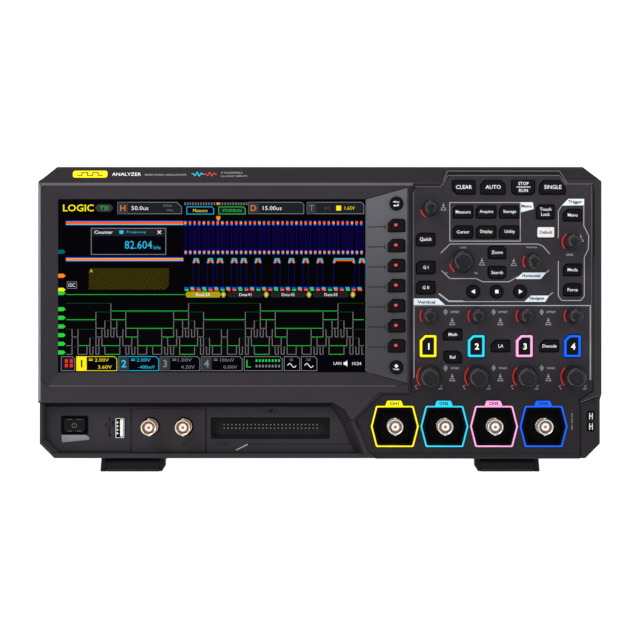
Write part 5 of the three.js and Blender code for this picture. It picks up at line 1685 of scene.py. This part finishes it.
def draw_analog_traces(screen):
    """Two signals that are slow on the left and packed tight on the right, and a row of pulses."""
    join, low, high = -89.3, 144.7, 160.9
    bands = ((162.5, "azure", "flame", "sky"), (138.7, "blue", "amber", "azure"))
    for level, above, core, below in bands:
        screen.bar(PLOT_LEFT, level + 0.7, join, level + 1.4, above, 1)
        screen.bar(PLOT_LEFT, level - 1.4, join, level - 0.7, below, 1)
        screen.bar(PLOT_LEFT, level - 0.8, join, level + 0.8, core, 2)
    screen.bar(join, low, PLOT_RIGHT, high, "navy", 0)
    beats = 39
    pitch = (PLOT_RIGHT - join) / beats
    for beat in range(beats):
        x = join + 0.6 + pitch * beat
        screen.bar(x + 0.6, low, x + 0.9, high, "indigo", 1)
        if beat % 3:
            screen.bar(x + 2.1, low, x + 2.3, high, "indigo", 1)
        screen.bar(x, high, x + 1.5, 163.8, "azure", 1)
        screen.bar(x, 161.8, x + 1.5, 163.2, "flame" if beat % 4 else "amber", 2)
        screen.bar(x + 0.2, 141.8, x + 1.7, low, "blue", 1)
        screen.bar(x + 0.2, 142.6, x + 1.7, 144.0, "amber", 2)
    long_pulse, length = 10.7, 10.0
    pulses = [-80.9, -71.6, -65.3, -56.0, -49.8, -40.5, -28.0, -18.6, -9.4, 0.0, long_pulse, 27.4]
    for x in pulses:
        end = x + length if x == long_pulse else x
        hump = [(x - 1.9, 136.2), (x - 1.2, 139.1), (end + 1.2, 139.1), (end + 1.9, 136.2)]
        screen.line(hump, 0.8, "sky", 1)
        core = [(x - 1.1, 136.4), (x - 0.6, 138.0), (end + 0.6, 138.0), (end + 1.1, 136.4)]
        screen.line(core, 0.9, "flame", 2)
        for side in (x - 1.9, end + 1.9):
            screen.bar(side - 0.15, 120.0, side + 0.15, 136.4, "indigo", 0)
    for step in range(30):
        x = join + 0.6 + 3.9 * step
        screen.bar(x, 119.4, x + 2.6, 120.6, "sky" if step % 2 else "blue", 1)
        screen.bar(x + 0.4, 118.2, x + 3.0, 119.3, "flame" if step % 3 else "green", 2)
    flag = [(-67.7, 167.0), (-65.1, 167.0), (-65.1, 165.2), (-66.4, 163.8), (-67.7, 165.2)]
    screen.shape(flag, "orange", 3)
    tags = [(143.7, "teal"), (128.0, "orange"), (118.8, "yellow"), (116.7, "green")]
    tags += [(LOGIC["low"] + 1.2 - LOGIC["pitch"] * row, "green") for row in range(LOGIC["bits"])]
    arrow = [(-171.0, -1.3), (-167.6, -1.3), (-166.2, 0.0), (-167.6, 1.3), (-171.0, 1.3)]
    for level, colour in tags:
        screen.shape([(x, level + z) for x, z in arrow], colour, 1)


def draw_counter(screen):
    """The counter's panel, and below it the hatched band of a mask."""
    screen.bar(-149.4, 141.9, -100.7, 159.0, "dark", 2)
    screen.bar(-149.0, 142.3, -101.1, 153.9, "black", 3)
    border = [(-149.4, 141.9), (-100.7, 141.9), (-100.7, 159.0), (-149.4, 159.0)]
    screen.line(border, 0.4, "grey", 4, closed=True)
    screen.word("Counter", -141.4, 156.5, 1.9, "white", 5, 12.0, weight=0.0)
    screen.bar(-131.0, 155.4, -128.4, 157.6, "cyan", 5)
    screen.word("Frequency", -119.9, 156.4, 1.7, "cyan", 5, 12.6)
    screen.line([(-106.0, 155.4), (-103.9, 157.5)], 0.45, "white", 5)
    screen.line([(-106.0, 157.5), (-103.9, 155.4)], 0.45, "white", 5)
    screen.word("82.604", -118.6, 148.2, 4.6, "cyan", 5, 17.8, weight=-0.004)
    screen.word("kHz", -106.4, 146.4, 1.8, "cyan", 5)
    low, high, left, right = 118.9, 133.0, -151.0, -98.7
    screen.bar(left, low, right, high, "moss", 0)
    pitch = 1.75
    for step in range(int((right - left + high - low) / pitch)):
        x = left - (high - low) + pitch * step
        start = max(x, left)
        end = min(x + high - low, right)
        if end - start > 0.4:
            screen.line([(start, low + start - x), (end, low + end - x)], 0.32, "olive", 1)
    screen.word("A", left + 1.6, high - 1.8, 1.9, "yellow", 3)
    screen.bar(-165.3, 119.6, -158.8, 124.2, "grey", 0)
    screen.bar(-165.0, 119.9, -159.1, 123.9, "black", 1)
    screen.word("I2C", -162.0, 121.9, 2.0, "white", 2)


def draw_bus_decode(screen):
    """A line of cells that name what the bus carries."""
    z, half = 115.7, 1.9
    screen.bar(PLOT_LEFT, z - 0.15, -88.5, z + 0.15, "green", 0)

    def cell(x0, x1, colour, words, ink_colour):
        cut = min(1.0, (x1 - x0) / 2.2)
        low = [(x0, z), (x0 + cut, z - half), (x1 - cut, z - half)]
        high = [(x1, z), (x1 - cut, z + half), (x0 + cut, z + half)]
        screen.shape(low + high, colour, 1)
        screen.word(words, (x0 + x1) / 2, z, 1.7, ink_colour, 3)

    cell(-88.0, -64.7, "olive_bright", "Read:2A", "white")
    for x in (-63.1, -35.1, -7.2, 21.5):
        cell(x - 1.7, x + 1.7, "olive_bright", "0", "white")
    for x, words in ((-48.8, "Data:41"), (-20.8, "Data:42"), (7.1, "Data:43")):
        cell(x - 11.9, x + 11.9, "dark", words, "white")


# The logic view: six lines, the foot of the top one, and the place and length of the coded wave.
LOGIC = {"bits": 6, "low": 105.0, "pitch": 5.66, "swing": 5.0}
LOGIC_WAVE = {"crossing": -136.6, "half": 48.8, "samples": 25, "height": 23.6, "squareness": 1.35}


def logic_codes(first, last):
    """A rounded square wave, sampled as whole numbers."""
    phases = [math.pi * k / LOGIC_WAVE["samples"] for k in range(first, last)]
    height, squareness = LOGIC_WAVE["height"], LOGIC_WAVE["squareness"]
    return [round(height * math.tanh(squareness * math.sin(phase))) for phase in phases]


def draw_logic_traces(screen):
    """Lines that carry a wave as a signed binary number, with the sign at the top."""
    crossing = LOGIC_WAVE["crossing"]
    step = LOGIC_WAVE["half"] / LOGIC_WAVE["samples"]
    first = math.floor((PLOT_LEFT - crossing) / step)
    codes = logic_codes(first, math.ceil((PLOT_RIGHT - crossing) / step))
    for row in range(LOGIC["bits"]):
        low = LOGIC["low"] - LOGIC["pitch"] * row
        levels = [code >> (LOGIC["bits"] - 1 - row) & 1 for code in codes]
        changes = [k for k in range(1, len(levels)) if levels[k] != levels[k - 1]]
        for start, end in zip([0, *changes], [*changes, len(levels)]):
            x0 = max(PLOT_LEFT, crossing + step * (first + start))
            x1 = min(PLOT_RIGHT, crossing + step * (first + end))
            z = low + LOGIC["swing"] * levels[start]
            colour = "dim_green" if levels[start] else "green" if end - start > 3 else "pulse"
            screen.bar(x0, z - 0.16, x1, z + 0.16, colour)
            if start:
                screen.bar(x0 - 0.2, low, x0 + 0.2, low + LOGIC["swing"], "pulse", 1)


def draw_status_bar(screen):
    """The boxes of the channels, the logic pod and the generators, then the clock."""
    low, high = 66.0, 75.2
    screen.bar(-171.0, 65.0, 29.5, 75.6, "black", 0)
    screen.box(-169.0, low, -160.2, high, "grey")
    for column in (-166.6, -163.4):
        for row in (68.2, 71.2):
            screen.bar(column, row, column + 1.9, row + 2.3, "red", 3)
    boxes = (
        (-159.0, -132.7, "1", "yellow", "2.00V", "3.60V"),
        (-131.4, -105.4, "2", "cyan", "2.00V", "-400mV"),
        (-104.5, -78.5, "3", "grey", "1.00V", "4.20V"),
        (-77.4, -50.8, "4", "grey", "100mV", "0.00V"),
    )
    for x0, x1, number, colour, upper, lower in boxes:
        screen.box(x0, low, x1, high, colour, "black")
        live = number == "1"
        screen.bar(x0, low, x0 + 6.6, high, colour if live else "shade", 2)
        screen.word(number, x0 + 3.3, (low + high) / 2, 4.4, "black" if live else colour, 3, weight=0.02)
        screen.word(upper, x1 - 9.8, 73.0, 1.9, colour, 3, 1.8 * len(upper))
        screen.word(lower, x1 - 7.8, 68.4, 1.9, colour, 3, 1.8 * len(lower))
        screen.bar(x0 + 8.0, 72.5, x0 + 10.6, 72.9, colour, 3)
        screen.bar(x0 + 8.0, 73.4, x0 + 10.6, 73.8, colour, 3)
    screen.box(-49.5, low, -24.6, high, "grey", "black")
    screen.word("L", -46.6, 70.6, 4.4, "green", 3)
    for column in range(8):
        for row, colour in ((72.6, "green"), (69.0, "grey")):
            x = -42.0 + 2.1 * column
            screen.bar(x, row - 0.8, x + 1.1, row + 0.8, colour, 3)
    for x0, words in ((-23.4, "GI"), (-12.2, "GII")):
        screen.box(x0, low, x0 + 10.2, high, "grey", "black")
        screen.word(words, x0 + 4.6, 73.2, 1.5, "grey", 3)
        wave = [(x0 + 2.2 + 0.4 * k, 69.4 + 1.3 * math.sin(math.pi * k / 7.0)) for k in range(15)]
        screen.line(wave, 0.4, "white", 3)
    screen.word("LAN", 11.4, 70.8, 1.7, "white", 3)
    speaker = [(15.4, 69.9), (16.4, 69.9), (17.8, 68.8), (17.8, 72.6), (16.4, 71.5), (15.4, 71.5)]
    screen.shape(speaker, "white", 3)
    screen.word("10:24", 24.0, 70.7, 1.8, "white", 3)


# ---------------------------------------------------------------- studio


def studio():
    """A white floor that curves up into a backdrop, an even sky and four soft lamps."""
    graph = Graph("studio_white")
    low, high = (0.29, 0.29, 0.29, 1), (0.31, 0.31, 0.31, 1)
    graph.connect(graph.ramp(graph.noise(14.0), low, high), "Base Color")
    graph.set(Roughness=0.9, Specular_IOR_Level=0.0)
    graph.set(Emission_Color=(1, 1, 1, 1), Emission_Strength=1.0)
    half_width, front, curve_start, curve, top = 6.0, -6.0, 3.0, 1.5, 6.0
    angles = [math.pi / 2 * k / 12 for k in range(1, 13)]
    profile = [(front, 0.0), (curve_start, 0.0)]
    profile += [(curve_start + curve * math.sin(a), curve - curve * math.cos(a)) for a in angles]
    profile += [(curve_start + curve, top)]
    bm = bmesh.new()
    rows = [[bm.verts.new((x, y, z)) for y, z in profile] for x in (-half_width, half_width)]
    for k in range(len(profile) - 1):
        bm.faces.new((rows[0][k], rows[1][k], rows[1][k + 1], rows[0][k + 1]))
    sweep = bpy.data.objects.new("studio_sweep", mesh_from(bm))
    sweep.data.polygons.foreach_set("use_smooth", [True] * len(sweep.data.polygons))
    sweep.data.materials.append(graph.material)
    bpy.context.scene.collection.objects.link(sweep)

    world = bpy.data.worlds.new("studio")
    bpy.context.scene.world = world
    world.use_nodes = True
    background = world.node_tree.nodes["Background"]
    background.inputs["Color"].default_value = (1.0, 1.0, 1.0, 1.0)
    background.inputs["Strength"].default_value = 0.42
    area("key_light", (-0.8, -1.2, 1.3), 0.9, 14.0)
    area("fill_light", (1.1, -1.2, 0.7), 0.9, 6.0)
    area("strip_light", (-1.1, -0.35, 0.2), 0.3, 4.0)
    area("backdrop_light", (0.0, 1.6, 2.2), 1.6, 60.0, (0.0, 4.0, 0.6))
    bpy.context.scene.view_settings.view_transform = "Standard"


def area(name, place, size, power, target=(0.0, 0.0, 0.1)):
    """A round lamp, in metres and watts, that faces the target."""
    data = bpy.data.lights.new(name, "AREA")
    data.shape, data.size, data.energy = "DISK", size, power
    lamp = bpy.data.objects.new(name, data)
    lamp.location = place
    lamp.rotation_euler = (Vector(target) - Vector(place)).to_track_quat("-Z", "Y").to_euler()
    bpy.context.scene.collection.objects.link(lamp)


def camera():
    """Square on to the front, in metres, showing 416 mm of its face."""
    distance, front, height, field = 1.1, -0.052, 0.0991, 0.4164
    data = bpy.data.cameras.new("camera")
    data.sensor_width = 36.0
    data.lens = data.sensor_width * distance / field
    holder = bpy.data.objects.new("camera", data)
    holder.location = (0.0, front - distance, height)
    holder.rotation_euler = (math.pi / 2, 0.0, 0.0)
    bpy.context.scene.collection.objects.link(holder)
    bpy.context.scene.camera = holder


rubber_keys()
menu_keys()
nav_keys()
channel_keys()
knobs()
case_shell()
display_block()
bay_walls()
control_panel()
panel_print()
panel_trim()
badge()
fascia()
soft_keys()
input_jacks()
probe_lugs()
bay_floor()
power_key()
generator_jacks()
usb_socket()
pod_header()
rear_case()
rear_ports()
mains_inlet()
fan()
handle()
tilt_legs()
finish_hidden_parts()
display()
studio()
camera()
